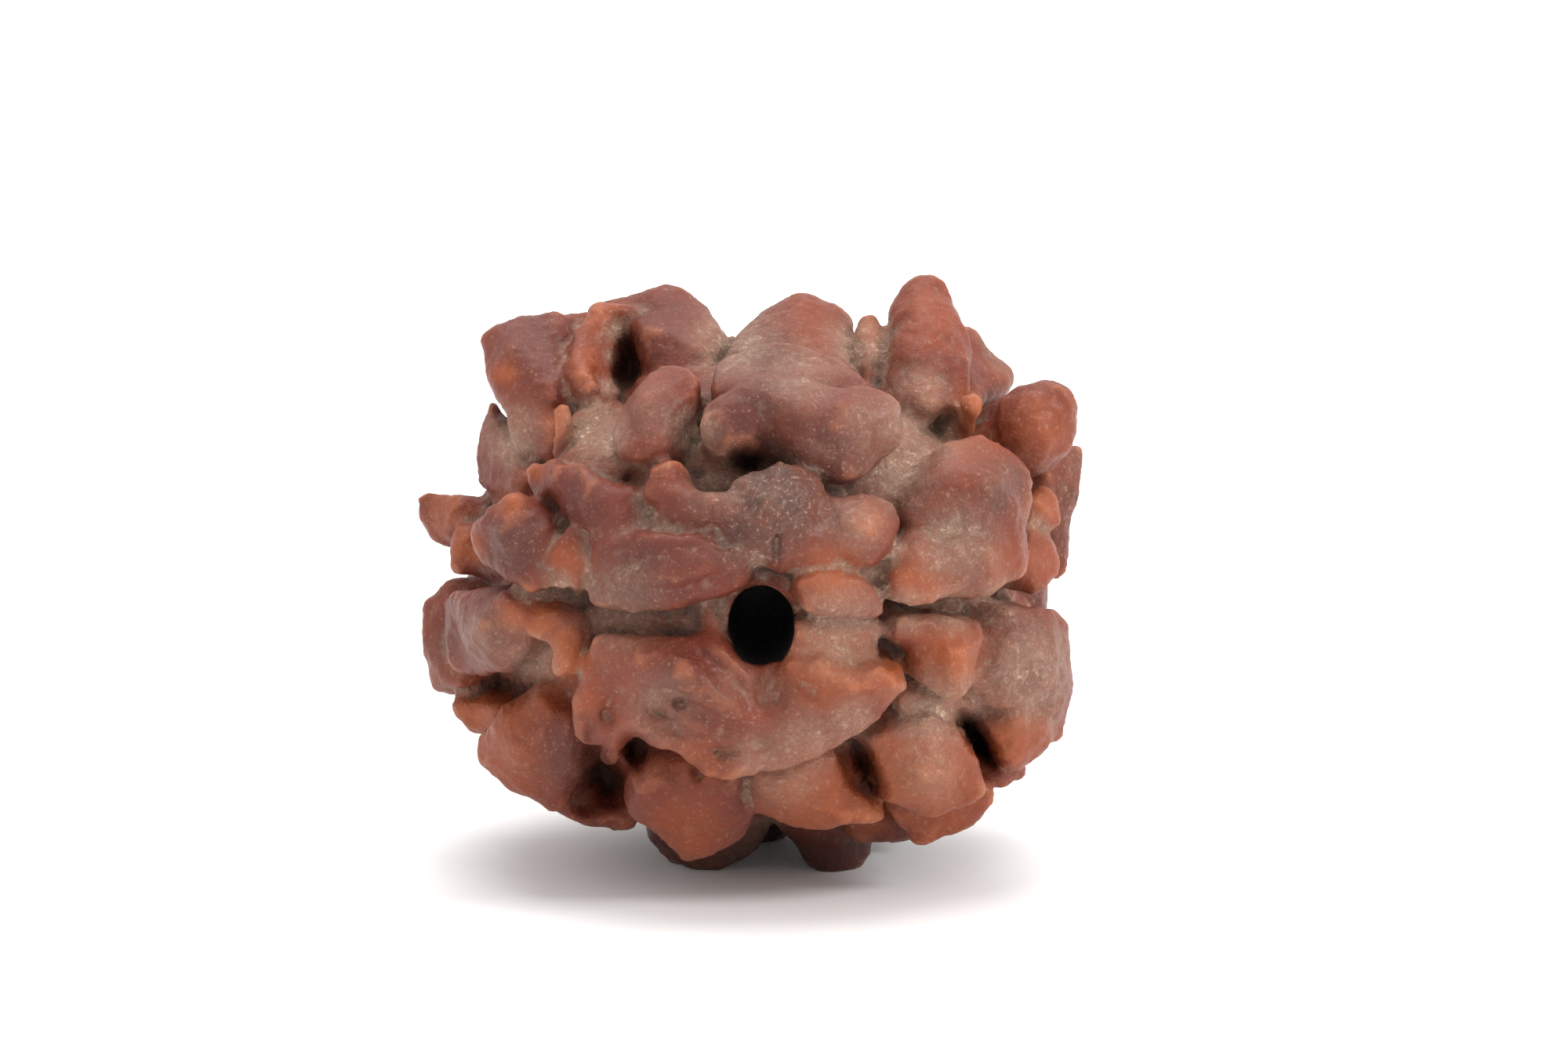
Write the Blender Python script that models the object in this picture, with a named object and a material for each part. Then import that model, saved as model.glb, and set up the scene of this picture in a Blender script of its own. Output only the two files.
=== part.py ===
"""A rudraksha bead: the ridged stone of a fruit, drilled from mouth to mouth, lying on its side.

The bead has two faces. A groove parts them, and it runs level round the whole bead, through both
mouths of the bore. Lobes, ridges and small spikes stand on a plain oval core. Each is a row or a
patch of balls wrapped in a tight skin that reaches down into the core. All of them are fused into
one solid. Its valleys are rounded, a crease is pressed in between neighbouring lobes, and it is
bent a little by smooth noise. Then it is drilled, and trimmed where it rests.

World axes: X runs along the groove, Y along the bore and away from the near mouth, Z is up.
"""

import math
import random

import bmesh
import bpy
import numpy as np
from mathutils import Matrix, Quaternion, Vector, noise
from mathutils.bvhtree import BVHTree

MM = 0.001

# The core under the lobes, as half sizes
CORE_ACROSS = 8.6 * MM
CORE_UP = 7.3 * MM
CORE_TOWARD = 8.0 * MM
CORE_SUBDIVISIONS = 6
# Behind, the core's top is lower by this much, so that lobes can stand there and stay out of sight
BACK_DROP = 1.0 * MM
BACK_BLEND = 0.4

# The near end is laid out as an eye sees it that looks down on the bead by this angle
EYE_TILT = math.radians(11)
RIGHT = Vector((1, 0, 0))
UP = Vector((0, math.sin(EYE_TILT), math.cos(EYE_TILT)))
TOWARD = Vector((0, -math.cos(EYE_TILT), math.sin(EYE_TILT)))

# The groove between the two faces
GROOVE_DEPTH = 1.0 * MM
GROOVE_HALF_WIDTH = 0.6 * MM
GROOVE_WANDER = 0.3 * MM
GROOVE_WAVES = 5

# The bore: an oval hole from mouth to mouth, just off the middle of the bead
BORE_ACROSS = 0.3 * MM
BORE_UP = 0.12 * MM
BORE_HALF_WIDTH = 0.96 * MM
BORE_HALF_HEIGHT = 1.12 * MM
MOUTH_FLARE = 1.1
BORE_SIDES = 24
# Shares of the core's half length: where the bore starts to flare, and where its cutter ends
FLARE_START = 0.8
CUTTER_END = 1.6

# How the bead rests: its middle stands this high, and the feet reach a little below the surface.
# A foot is this many times as wide at its root. The block that trims the feet is this wide and deep
REST_HEIGHT = 8.85 * MM
FOOT_ROOT = 1.6
BLOCK_WIDTH = 40 * MM
BLOCK_DEPTH = 10 * MM

# Each lobe's skin goes down to balls that lie this deep in the core. Smoothing takes a little off
# every crest, so the balls are made larger by that much
ROOT_SINK = 0.45 * MM
SMOOTHING_LOSS = 0.06 * MM
BALL_DETAIL = 2

# Fusing, and rounding the valleys between lobes as pulp left in them does
FUSE_GRAIN = 0.16 * MM
SETTLE_ROUNDS = 9
VALLEY_SHARE = 0.7
CREST_SHARE = 0.2

# Creases run where one lobe meets the next. They fade where no lobe's skin is near, and in patches
CREASE_REACH = 0.8 * MM
CREASE_HALF_WIDTH = 0.26 * MM
CREASE_DEPTH = 0.24 * MM
CREASE_BLEND = 0.3 * MM
CREASE_PATCHES = 1.3 * MM

# Growth bends every lobe a little: how far, and over what length
BENDS = ((0.26 * MM, 2.6 * MM), (0.13 * MM, 1.1 * MM))
# The noise is read at three places, far apart, one for each axis
BEND_APART = (Vector((0, 0, 0)), Vector((31.4, 0, 0)), Vector((0, 47.1, 0)))
TRIANGLES_KEPT = 11600

# Where the photograph shows nothing, lobes of five kinds are laid by rule on a spiral of places
SEED = 27
SPIRAL_PLACES = 170
SEEN_FROM = 0.6 * MM
PLACE_JITTER = 0.5 * MM
LOBE_CLEARANCE = 2.0 * MM
GROOVE_CLEARANCE = 1.25 * MM
MOUTH_CLEARANCE = 2.3 * MM
LOBE_KINDS = ("plate", "plate", "bean", "knob", "blade", "finger")
LOWEST = 8.6 * MM
OUTLINE_MARGIN = 0.2 * MM
OUTLINE_SPREAD = 0.9 * MM

BEAD_COLOUR = (0.28, 0.10, 0.055, 1.0)
BEAD_ROUGHNESS = 0.48

# Lobes of the near end's upper face. Each has a name, a form, how wide its root is for its crest,
# and balls as millimetres across and up from the bead's middle, height above the core, and radius.
# A ridge joins each ball to the next, a patch wraps all its balls at once, and a spike is a ridge
# with one root.
UPPER_LOBES = (
    # left of the mouth
    ("bean", "ridge", 0.9, ((-2.4, 5.4, 0.85, 0.82), (-2.95, 4.6, 0.8, 1.0), (-3.05, 3.85, 0.7, 0.92))),
    ("quill", "spike", 1.3, ((-5.5, 3.7, 0.4, 0.42), (-5.65, 4.45, 0.9, 0.26), (-5.75, 4.95, 1.2, 0.2))),
    ("cup_floor", "patch", 1.0, ((-5.1, 4.7, 0.2, 0.4), (-4.2, 4.9, 0.1, 0.4), (-3.7, 3.2, 0.45, 0.4),
                                 (-3.2, 2.8, 0.5, 0.4), (-4.3, 2.9, 0.5, 0.4), (-5.1, 3.4, 0.35, 0.4))),
    ("dusky", "patch", 1.0, ((-8.0, 1.25, 1.2, 0.36), (-7.8, 0.6, 1.3, 0.36), (-7.2, 0.1, 1.4, 0.36),
                             (-6.4, -0.15, 1.3, 0.38), (-5.9, 0.9, 0.9, 0.4), (-6.5, 1.8, 1.1, 0.4),
                             (-7.2, 2.05, 1.2, 0.38), (-6.9, 1.0, 1.35, 0.7))),
    ("dusky_hem", "ridge", 1.0, ((-8.0, 1.0, 1.45, 0.26), (-7.5, 0.3, 1.65, 0.26), (-6.6, -0.15, 1.6, 0.26),
                                 (-5.6, -0.4, 1.3, 0.3))),
    ("dusky_knob", "ridge", 1.0, ((-7.45, 2.0, 1.5, 0.3), (-6.85, 2.05, 1.5, 0.33))),
    ("leaf", "ridge", 1.0, ((-5.95, 3.2, 0.9, 0.26), (-5.45, 2.9, 1.25, 0.3), (-4.85, 2.75, 1.35, 0.34),
                            (-4.3, 2.35, 1.2, 0.45))),
    ("leaf_bed", "patch", 1.0, ((-5.7, 2.5, 0.6, 0.45), (-4.6, 1.6, 0.75, 0.5), (-3.6, 1.6, 0.9, 0.5),
                                (-3.4, 2.3, 0.95, 0.45), (-4.4, 2.1, 1.05, 0.5))),
    ("leaf_fin", "spike", 1.5, ((-6.1, 2.6, 0.6, 0.3), (-6.4, 3.25, 1.1, 0.2))),
    ("rust", "patch", 1.1, ((-5.3, 0.95, 0.9, 0.42), (-5.6, 0.3, 1.0, 0.5), (-5.1, -0.2, 1.15, 0.42),
                            (-5.7, -0.35, 1.1, 0.36))),
    ("long_lip", "patch", 1.0, ((-4.5, -0.45, 1.0, 0.42), (-3.2, -0.55, 1.2, 0.42), (-1.6, -0.5, 1.3, 0.42),
                                (-0.5, -0.1, 1.3, 0.42), (-0.3, 0.6, 1.2, 0.42), (-1.4, 0.9, 1.2, 0.42),
                                (-3.0, 1.0, 1.1, 0.42), (-4.4, 0.9, 0.9, 0.42))),
    ("fold_upper", "ridge", 1.2, ((-3.0, 1.0, 1.4, 0.34), (-2.1, 0.95, 1.6, 0.34), (-1.3, 0.8, 1.6, 0.34))),
    ("fold_lower", "ridge", 1.2, ((-3.6, -0.2, 1.4, 0.4), (-2.0, 0.2, 1.7, 0.4), (-1.1, 0.35, 1.75, 0.42),
                                  (-0.2, 0.35, 1.6, 0.4))),
    # above the mouth
    ("ash", "patch", 1.0, ((-0.1, 2.55, 1.4, 0.42), (0.8, 2.9, 1.5, 0.42), (1.6, 2.6, 1.4, 0.42),
                           (1.9, 1.8, 1.3, 0.42), (1.5, 0.7, 1.3, 0.42), (0.0, 0.6, 1.3, 0.42),
                           (-0.4, 1.4, 1.3, 0.42), (0.6, 2.1, 1.9, 0.5))),
    ("ash_arm", "ridge", 1.2, ((-2.4, 1.7, 1.0, 0.5), (-1.4, 1.95, 1.35, 0.5), (-0.5, 2.0, 1.5, 0.5))),
    ("ash_bump", "ridge", 1.1, ((-2.4, 2.95, 1.15, 0.42), (-2.75, 2.4, 1.2, 0.42), (-2.0, 2.2, 1.3, 0.4))),
    ("pink", "patch", 1.0, ((2.4, 2.0, 1.3, 0.38), (3.2, 2.1, 1.4, 0.38), (3.8, 1.8, 1.3, 0.38),
                            (3.9, 1.0, 1.2, 0.38), (3.2, 0.7, 1.3, 0.38), (2.2, 0.8, 1.3, 0.38),
                            (3.1, 1.5, 1.8, 0.4))),
    ("cheek", "patch", 1.0, ((1.7, -0.15, 1.3, 0.4), (2.4, 0.0, 1.4, 0.42), (3.2, -0.2, 1.2, 0.42),
                             (3.5, -0.55, 1.0, 0.4), (2.6, -0.75, 1.35, 0.42), (1.8, -0.6, 1.35, 0.4),
                             (2.5, -0.35, 1.6, 0.4))),
    ("bar", "ridge", 0.8, ((-0.6, 4.25, 1.15, 0.88), (0.5, 5.0, 1.3, 0.85), (1.6, 4.6, 1.4, 1.0),
                           (2.6, 4.2, 1.4, 1.1), (3.55, 4.5, 1.4, 1.0))),
    ("bar_chin", "patch", 1.0, ((1.7, 3.9, 1.4, 0.6), (2.6, 3.35, 1.4, 0.55), (3.1, 3.6, 1.4, 0.55))),
    ("bar_top", "patch", 1.0, ((-0.5, 5.9, 0.6, 0.6), (0.7, 6.2, 0.6, 0.6), (2.2, 6.0, 0.8, 0.6),
                               (3.0, 5.4, 0.9, 0.65), (-0.5, 5.3, 0.8, 0.65), (1.0, 5.3, 1.2, 0.75))),
    # right of the mouth
    ("bud", "spike", 1.3, ((6.3, 4.5, 0.5, 0.3), (6.42, 4.8, 1.1, 0.26), (6.5, 5.1, 1.5, 0.4))),
    ("dome", "patch", 0.9, ((6.0, 3.4, 1.2, 0.5), (6.7, 3.6, 1.3, 0.5), (7.4, 3.3, 1.3, 0.5),
                            (7.8, 2.7, 1.3, 0.5), (7.8, 1.9, 1.3, 0.5), (7.6, 1.2, 1.2, 0.5),
                            (6.0, 1.2, 1.1, 0.5), (5.0, 1.5, 0.9, 0.5), (5.4, 2.5, 1.1, 0.5),
                            (6.6, 2.6, 1.7, 0.7))),
    ("dome_hem", "patch", 1.0, ((4.2, -0.2, 1.2, 0.38), (5.2, -0.35, 1.4, 0.38), (6.3, -0.2, 1.4, 0.38),
                                (7.2, 0.05, 1.3, 0.38), (7.8, 0.55, 1.2, 0.38), (7.9, 1.1, 1.0, 0.38),
                                (6.5, 0.6, 1.5, 0.4), (4.4, 0.6, 1.2, 0.4))),
)

# Lobes of the lower face, written the same way
LOWER_LOBES = (
    # left of the mouth
    ("left_front", "patch", 1.0, ((-8.9, -1.0, 0.7, 0.34), (-8.85, -2.0, 0.7, 0.34), (-8.6, -2.6, 0.9, 0.34),
                                  (-7.3, -2.5, 1.0, 0.4), (-6.9, -1.8, 1.1, 0.4), (-7.1, -0.95, 1.2, 0.36),
                                  (-8.0, -0.85, 1.1, 0.36), (-7.7, -1.5, 1.4, 0.5))),
    ("left_lip", "ridge", 1.0, ((-7.3, -0.9, 1.3, 0.34), (-6.4, -1.3, 1.3, 0.36), (-5.6, -1.7, 1.1, 0.4))),
    ("tang", "ridge", 0.9, ((-5.55, -1.75, 1.1, 0.42), (-5.5, -2.65, 1.35, 0.42))),
    ("lap_left", "patch", 1.0, ((-4.75, -2.75, 1.1, 0.36), (-4.2, -2.25, 1.1, 0.36), (-3.2, -2.3, 1.2, 0.36),
                                (-3.2, -3.8, 1.3, 0.4), (-4.0, -4.5, 1.4, 0.36), (-4.7, -4.4, 1.3, 0.36),
                                (-4.85, -3.6, 1.2, 0.36))),
    ("lap", "patch", 1.0, ((-3.4, -2.25, 1.1, 0.36), (-2.1, -2.3, 1.3, 0.36), (-1.35, -2.75, 1.3, 0.36),
                           (-0.6, -3.5, 1.3, 0.4), (-0.1, -4.2, 1.3, 0.4), (-0.4, -4.7, 1.3, 0.4),
                           (-1.2, -4.8, 1.4, 0.45), (-2.6, -4.3, 1.3, 0.45), (-3.3, -3.8, 1.2, 0.4))),
    ("lap_ridge", "ridge", 1.0, ((-3.9, -2.6, 1.3, 0.42), (-2.9, -2.75, 1.65, 0.46),
                                 (-1.9, -2.8, 1.75, 0.46), (-1.0, -3.3, 1.6, 0.42), (-0.5, -4.0, 1.5, 0.4))),
    ("lap_lip", "ridge", 1.0, ((-4.75, -3.3, 1.2, 0.34), (-4.8, -4.2, 1.35, 0.36), (-4.1, -4.65, 1.55, 0.36),
                               (-3.5, -4.25, 1.5, 0.34), (-2.7, -4.6, 1.65, 0.38), (-2.0, -4.75, 1.75, 0.38),
                               (-1.3, -5.4, 1.6, 0.38), (-0.5, -5.35, 1.6, 0.4), (0.2, -5.1, 1.5, 0.4))),
    ("lap_nub", "ridge", 1.0, ((-2.1, -3.75, 1.45, 0.4), (-1.4, -4.2, 1.6, 0.42))),
    ("lap_crumb", "spike", 1.4, ((-4.1, -4.9, 0.8, 0.3), (-4.15, -5.25, 1.2, 0.24))),
    # under and right of the mouth
    ("wedge", "patch", 1.0, ((1.5, -2.85, 1.2, 0.36), (2.8, -3.15, 1.3, 0.36), (4.2, -3.2, 1.3, 0.3),
                             (3.4, -4.2, 1.3, 0.4), (2.4, -4.7, 1.5, 0.4), (1.2, -5.1, 1.5, 0.42),
                             (0.3, -5.2, 1.4, 0.36), (0.4, -3.9, 1.3, 0.36), (1.6, -3.9, 1.6, 0.5))),
    ("wedge_rim", "ridge", 1.0, ((1.25, -2.75, 1.35, 0.34), (1.9, -2.85, 1.65, 0.34),
                                 (2.9, -3.15, 1.7, 0.34), (3.7, -3.05, 1.6, 0.32), (4.4, -3.2, 1.45, 0.3))),
    ("filled", "patch", 1.0, ((1.9, -1.4, 0.55, 0.5), (3.3, -1.5, 0.35, 0.5), (3.2, -2.2, 0.45, 0.5),
                              (1.6, -2.2, 0.65, 0.5))),
    ("groove_floor", "patch", 1.0, ((-0.9, -1.1, -0.05, 0.4), (-2.6, -1.2, -0.1, 0.4),
                                    (-4.4, -1.3, -0.15, 0.4), (-5.4, -1.0, -0.2, 0.4),
                                    (-4.4, -2.0, -0.15, 0.4), (-2.6, -2.0, -0.05, 0.4),
                                    (-1.0, -1.9, 0.0, 0.4))),
    ("collar", "ridge", 1.0, ((-1.2, -1.2, 0.2, 0.4), (-1.3, -1.8, 0.3, 0.4), (-0.9, -2.4, 0.8, 0.4),
                              (0.1, -3.2, 0.9, 0.4), (1.1, -2.8, 0.9, 0.4), (1.6, -1.6, 0.8, 0.4))),
    ("thumb_lip", "ridge", 1.0, ((4.3, -1.55, 0.9, 0.34), (5.5, -1.7, 1.1, 0.36), (6.6, -1.65, 1.0, 0.36))),
    ("slope", "patch", 1.0, ((4.6, -3.7, 0.35, 0.4), (5.6, -3.7, 0.4, 0.4), (6.6, -3.6, 0.5, 0.4),
                             (6.9, -4.1, 0.4, 0.4), (5.5, -4.3, 0.5, 0.4), (4.5, -4.4, 0.4, 0.4))),
    ("thumb", "patch", 0.9, ((5.1, -2.0, 1.0, 0.4), (6.4, -1.95, 1.1, 0.4), (6.4, -2.9, 1.3, 0.4),
                             (5.95, -3.15, 1.4, 0.42), (5.35, -2.9, 1.1, 0.4), (6.0, -2.5, 1.6, 0.45))),
)

# Lobes of the rim, as seen in outline: across, up, and towards the eye from the bead's middle
RIM_LOBES = (
    # along the top, left to right
    ("left_crest", "patch", 0.8, ((-7.75, 7.05, 1.4, 0.4), (-7.2, 7.3, 1.3, 0.4), (-6.6, 7.55, 1.2, 0.42),
                                  (-5.9, 7.5, 1.6, 0.42), (-7.5, 5.9, 2.4, 0.4), (-6.7, 5.0, 3.2, 0.4),
                                  (-6.0, 5.3, 3.6, 0.42), (-6.9, 6.6, 2.6, 0.5))),
    ("left_web", "patch", 0.8, ((-5.9, 7.4, 1.0, 0.4), (-4.9, 7.5, 1.4, 0.4), (-5.0, 5.4, 3.4, 0.4),
                                (-5.9, 5.0, 3.4, 0.4))),
    ("left_hem", "ridge", 0.8, ((-3.6, 7.95, 1.6, 0.32), (-4.4, 7.8, 2.0, 0.34), (-5.0, 7.2, 2.7, 0.34),
                                (-5.15, 6.2, 3.6, 0.34), (-5.0, 5.4, 4.2, 0.3))),
    ("crown_left", "patch", 0.9, ((-4.4, 7.9, 0.5, 0.45), (-3.4, 8.1, 0.4, 0.48), (-2.5, 8.1, 0.8, 0.6),
                                  (-1.8, 7.7, 1.2, 0.55), (-1.0, 7.0, 2.0, 0.45), (-2.9, 6.9, 2.8, 0.5),
                                  (-1.6, 6.6, 2.9, 0.5))),
    ("crown_middle", "patch", 1.0, ((0.3, 7.2, 1.4, 0.5), (0.9, 7.6, 1.2, 0.6), (1.7, 7.8, 1.1, 0.7),
                                    (2.3, 7.6, 1.3, 0.65), (2.5, 7.0, 2.0, 0.6), (0.9, 6.6, 3.1, 0.6),
                                    (-0.3, 6.3, 3.5, 0.5), (1.0, 6.0, 4.4, 0.55), (2.5, 6.1, 3.6, 0.5))),
    ("saddle", "ridge", 1.0, ((-0.4, 6.45, 2.0, 0.45), (-0.4, 6.5, 0.0, 0.45), (-0.4, 6.35, -2.0, 0.45))),
    ("tooth", "spike", 1.4, ((3.6, 6.2, 3.0, 0.75), (3.6, 6.9, 2.6, 0.58), (3.65, 7.5, 2.4, 0.34))),
    ("finger", "spike", 1.0, ((5.15, 5.9, 3.3, 1.0), (5.3, 6.7, 2.7, 1.12), (5.35, 7.6, 2.0, 1.05),
                              (5.3, 8.45, 1.5, 0.75))),
    ("finger_base", "patch", 1.0, ((4.2, 5.6, 3.6, 0.4), (6.1, 5.5, 3.5, 0.4), (5.2, 5.1, 4.3, 0.4),
                                   (4.7, 6.6, 3.3, 0.6), (5.9, 6.4, 3.3, 0.5))),
    ("finger_fold", "ridge", 1.0, ((6.0, 8.0, 2.0, 0.34), (6.1, 7.2, 2.6, 0.4), (6.0, 6.2, 3.2, 0.45))),
    ("shawl", "patch", 1.0, ((6.3, 7.2, 0.2, 0.42), (7.45, 5.95, 0.0, 0.42), (6.6, 5.8, 0.8, 0.5),
                             (6.4, 5.2, 2.4, 0.5))),
    # down the right side
    ("knob", "spike", 0.9, ((8.0, 3.9, 2.4, 1.0), (8.45, 4.4, 2.7, 1.18), (8.75, 4.75, 2.5, 1.1))),
    ("back_wing", "patch", 1.0, ((9.65, 3.6, 0.2, 0.34), (9.5, 2.4, 0.1, 0.36), (9.3, 0.9, 0.1, 0.36),
                                 (9.0, 0.3, 0.4, 0.36), (8.8, 3.0, 1.0, 0.4))),
    ("amber_cheek", "patch", 0.9, ((8.8, 2.2, 2.7, 0.45), (8.95, 1.75, 2.6, 0.42), (8.5, 1.9, 3.2, 0.42))),
    ("side_edge", "patch", 1.0, ((8.85, 1.2, 2.6, 0.36), (8.8, 0.3, 2.6, 0.36), (8.5, -0.1, 2.9, 0.36),
                                 (8.2, 0.4, 3.6, 0.4), (8.4, 1.3, 3.4, 0.4))),
    ("right_mass", "patch", 0.95, ((9.1, -1.9, 2.3, 0.45), (9.15, -3.4, 2.2, 0.45), (8.9, -4.5, 2.3, 0.5),
                                   (8.2, -4.0, 3.8, 0.5), (7.35, -3.3, 4.9, 0.5), (7.5, -2.2, 5.0, 0.5),
                                   (8.6, -1.7, 3.6, 0.42), (8.4, -3.0, 4.2, 0.6))),
    ("thumb_root", "patch", 0.95, ((6.4, -1.9, 5.2, 0.4), (6.6, -2.9, 5.1, 0.42), (7.5, -3.2, 4.8, 0.45),
                                   (7.6, -2.0, 4.8, 0.45))),
    ("right_heel", "patch", 0.95, ((8.0, -4.1, 4.0, 0.6), (8.5, -4.8, 2.8, 0.6), (7.9, -5.2, 3.2, 0.55),
                                   (7.75, -4.7, 4.0, 0.5))),
    ("right_brow", "ridge", 1.0, ((7.6, -1.3, 4.4, 0.34), (8.5, -1.3, 3.4, 0.36), (9.1, -1.5, 2.3, 0.4))),
    ("right_foot", "patch", 1.0, ((8.0, -5.7, 2.0, 0.4), (7.3, -6.0, 2.4, 0.4), (7.6, -5.2, 2.6, 0.4))),
    # down the left side
    ("left_blade", "patch", 1.0, ((-7.72, 4.95, 1.8, 0.22), (-7.85, 3.0, 2.2, 0.3), (-7.2, 3.7, 3.2, 0.36),
                                  (-6.9, 2.9, 4.0, 0.5))),
    ("blade_web", "patch", 1.0, ((-6.9, 4.7, 3.1, 0.4), (-6.2, 4.9, 3.5, 0.45), (-6.1, 3.8, 4.0, 0.45),
                                 (-6.9, 3.7, 3.4, 0.4))),
    ("left_spike", "patch", 0.9, ((-9.85, 2.35, 0.8, 0.24), (-9.55, 1.35, 0.8, 0.3),
                                  (-8.6, 2.0, 1.6, 0.55))),
    ("left_nub", "ridge", 1.0, ((-8.6, 1.25, 2.4, 0.38), (-8.5, 0.5, 2.4, 0.36))),
    ("left_wing", "patch", 1.0, ((-9.0, -0.5, 0.8, 0.4), (-9.5, -1.1, 0.5, 0.42), (-9.5, -2.3, 0.5, 0.42),
                                 (-9.2, -3.2, 0.5, 0.42), (-8.5, -2.9, 1.6, 0.4))),
    ("left_keel", "patch", 1.0, ((-8.6, -3.9, 1.2, 0.34), (-8.2, -4.35, 1.4, 0.34), (-7.4, -4.0, 2.4, 0.4))),
    # along the bottom, left to right
    ("low_left", "patch", 0.9, ((-7.6, -5.0, 3.2, 0.48), (-7.65, -5.5, 3.0, 0.45), (-7.0, -6.1, 3.0, 0.48),
                                (-6.0, -6.5, 3.2, 0.46), (-7.1, -4.4, 4.0, 0.36), (-6.2, -3.8, 4.9, 0.38),
                                (-5.6, -4.3, 5.2, 0.4), (-5.7, -5.8, 4.4, 0.45), (-6.6, -5.2, 4.7, 0.5))),
    ("low_left_back", "patch", 1.0, ((-5.0, -6.75, 2.4, 0.55), (-4.0, -6.9, 2.0, 0.6),
                                     (-6.4, -6.0, 1.6, 0.5))),
    ("chin_left", "patch", 0.9, ((-2.7, -6.6, 4.4, 0.9), (-1.7, -7.25, 4.0, 1.05), (-0.9, -7.0, 4.3, 0.85),
                                 (-2.8, -5.9, 5.3, 0.7), (-0.7, -6.2, 5.5, 0.7))),
    ("chin", "patch", 1.0, ((0.4, -6.6, 4.9, 0.5), (1.7, -6.9, 4.9, 0.5), (2.6, -6.9, 4.9, 0.46),
                            (2.4, -6.0, 5.5, 0.4), (2.2, -5.5, 5.9, 0.4), (0.6, -6.0, 5.7, 0.5))),
    ("chin_horn", "ridge", 1.0, ((2.0, -6.3, 5.4, 0.55), (2.9, -6.8, 5.2, 0.5), (3.75, -7.05, 4.8, 0.3))),
    ("low_right", "patch", 0.9, ((3.65, -5.0, 6.1, 0.34), (4.3, -6.4, 5.3, 0.42), (5.4, -6.65, 4.8, 0.42),
                                 (6.6, -6.1, 4.3, 0.42), (6.5, -5.8, 4.5, 0.4), (6.0, -4.9, 5.3, 0.38),
                                 (5.0, -4.55, 6.0, 0.38), (5.1, -5.7, 6.0, 0.45))),
    ("low_right_back", "patch", 1.0, ((5.1, -7.5, 3.0, 0.5), (6.3, -7.0, 2.8, 0.5), (6.8, -6.4, 3.0, 0.42),
                                      (4.6, -6.8, 3.6, 0.5))),
    ("low_middle_back", "patch", 1.0, ((3.3, -7.4, 1.6, 0.6), (4.5, -7.3, 1.6, 0.6))),
)

# Lobes that the bead rests on: millimetres across, away and below the middle, and the radius
FEET = ((2.6, -0.85, 9.12, 1.0), (-1.5, -0.7, 9.0, 1.25), (0.3, 3.2, 9.05, 1.3))

# Lobes that run into each other with no crease between them
GROWN_TOGETHER = (
    ("dusky", "dusky_hem", "dusky_knob"),
    ("leaf", "leaf_bed", "leaf_fin"),
    ("long_lip", "fold_upper", "fold_lower"),
    ("ash", "ash_arm", "ash_bump", "pink"),
    ("bar", "bar_chin", "bar_top", "crown_middle"),
    ("dome", "dome_hem"),
    ("left_front", "left_lip", "tang"),
    ("lap", "lap_left", "lap_lip", "lap_ridge", "lap_nub", "collar", "filled", "wedge", "wedge_rim"),
    ("left_web", "left_hem", "left_crest", "blade_web"),
    ("finger", "finger_fold", "finger_base"),
    ("right_mass", "right_brow", "thumb", "thumb_lip", "thumb_root"),
    ("chin", "chin_horn"),
)

# The bead's outline as the eye sees it, in millimetres across and up: no hidden lobe shows past it
SEEN_OUTLINE = (
    (-10.0, 2.4), (-9.0, 2.6), (-8.2, 2.6), (-8.1, 4.8), (-7.75, 5.2), (-7.2, 4.8), (-7.8, 6.0),
    (-8.15, 7.0), (-7.4, 7.5), (-6.5, 8.0), (-5.3, 7.9), (-4.6, 8.4), (-3.4, 8.5), (-2.4, 8.7),
    (-1.5, 8.2), (-0.8, 7.4), (-0.4, 7.05), (0.0, 7.4), (0.5, 8.0), (1.2, 8.4), (2.0, 8.5),
    (2.6, 8.2), (3.1, 7.4), (3.65, 7.8), (4.0, 7.3), (4.4, 8.4), (5.2, 9.2), (6.1, 8.7),
    (6.45, 7.9), (6.85, 6.8), (7.6, 6.3), (7.95, 5.8), (8.7, 5.9), (9.4, 5.4), (9.8, 4.6),
    (10.0, 3.8), (9.85, 2.3), (9.6, 0.2), (9.15, -0.3), (9.2, -1.0), (9.6, -1.7), (9.65, -3.0),
    (9.4, -4.6), (8.5, -5.5), (8.1, -6.1), (7.2, -6.5), (6.3, -7.5), (5.0, -8.0), (3.6, -8.3),
    (2.3, -8.8), (0.8, -8.3), (-1.9, -8.2), (-3.0, -7.7), (-4.6, -7.4), (-6.3, -7.0), (-7.6, -6.3),
    (-8.1, -5.4), (-8.1, -4.7), (-8.8, -4.0), (-9.5, -3.5), (-9.9, -2.3), (-9.9, -1.2), (-9.2, -0.2),
    (-8.6, 0.2), (-9.0, 0.9), (-9.7, 1.1),
)


def clear_scene():
    for old in list(bpy.data.objects):
        bpy.data.objects.remove(old)


def seen_point(across, up, height):
    """The point seen at (across, up) that stands `height` above the core on the near side."""
    a = across / (CORE_ACROSS + height)
    u = up / (CORE_UP + height)
    toward = (CORE_TOWARD + height) * math.sqrt(max(0.0, 1 - a * a - u * u))
    return across * RIGHT + up * UP + toward * TOWARD


def core_radius(direction):
    """How far the core's surface is from the middle of the bead along a unit direction."""
    behind = min(1, max(0, -direction.dot(TOWARD) / BACK_BLEND)) if direction.dot(UP) > 0 else 0
    a = direction.dot(RIGHT) / CORE_ACROSS
    u = direction.dot(UP) / (CORE_UP - BACK_DROP * behind)
    t = direction.dot(TOWARD) / CORE_TOWARD
    return 1 / math.sqrt(a * a + u * u + t * t)


def near_balls(balls):
    """A near lobe's balls as (centre, radius), from millimetres as seen."""
    return [(seen_point(a * MM, u * MM, h * MM), r * MM) for a, u, h, r in balls]


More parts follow.
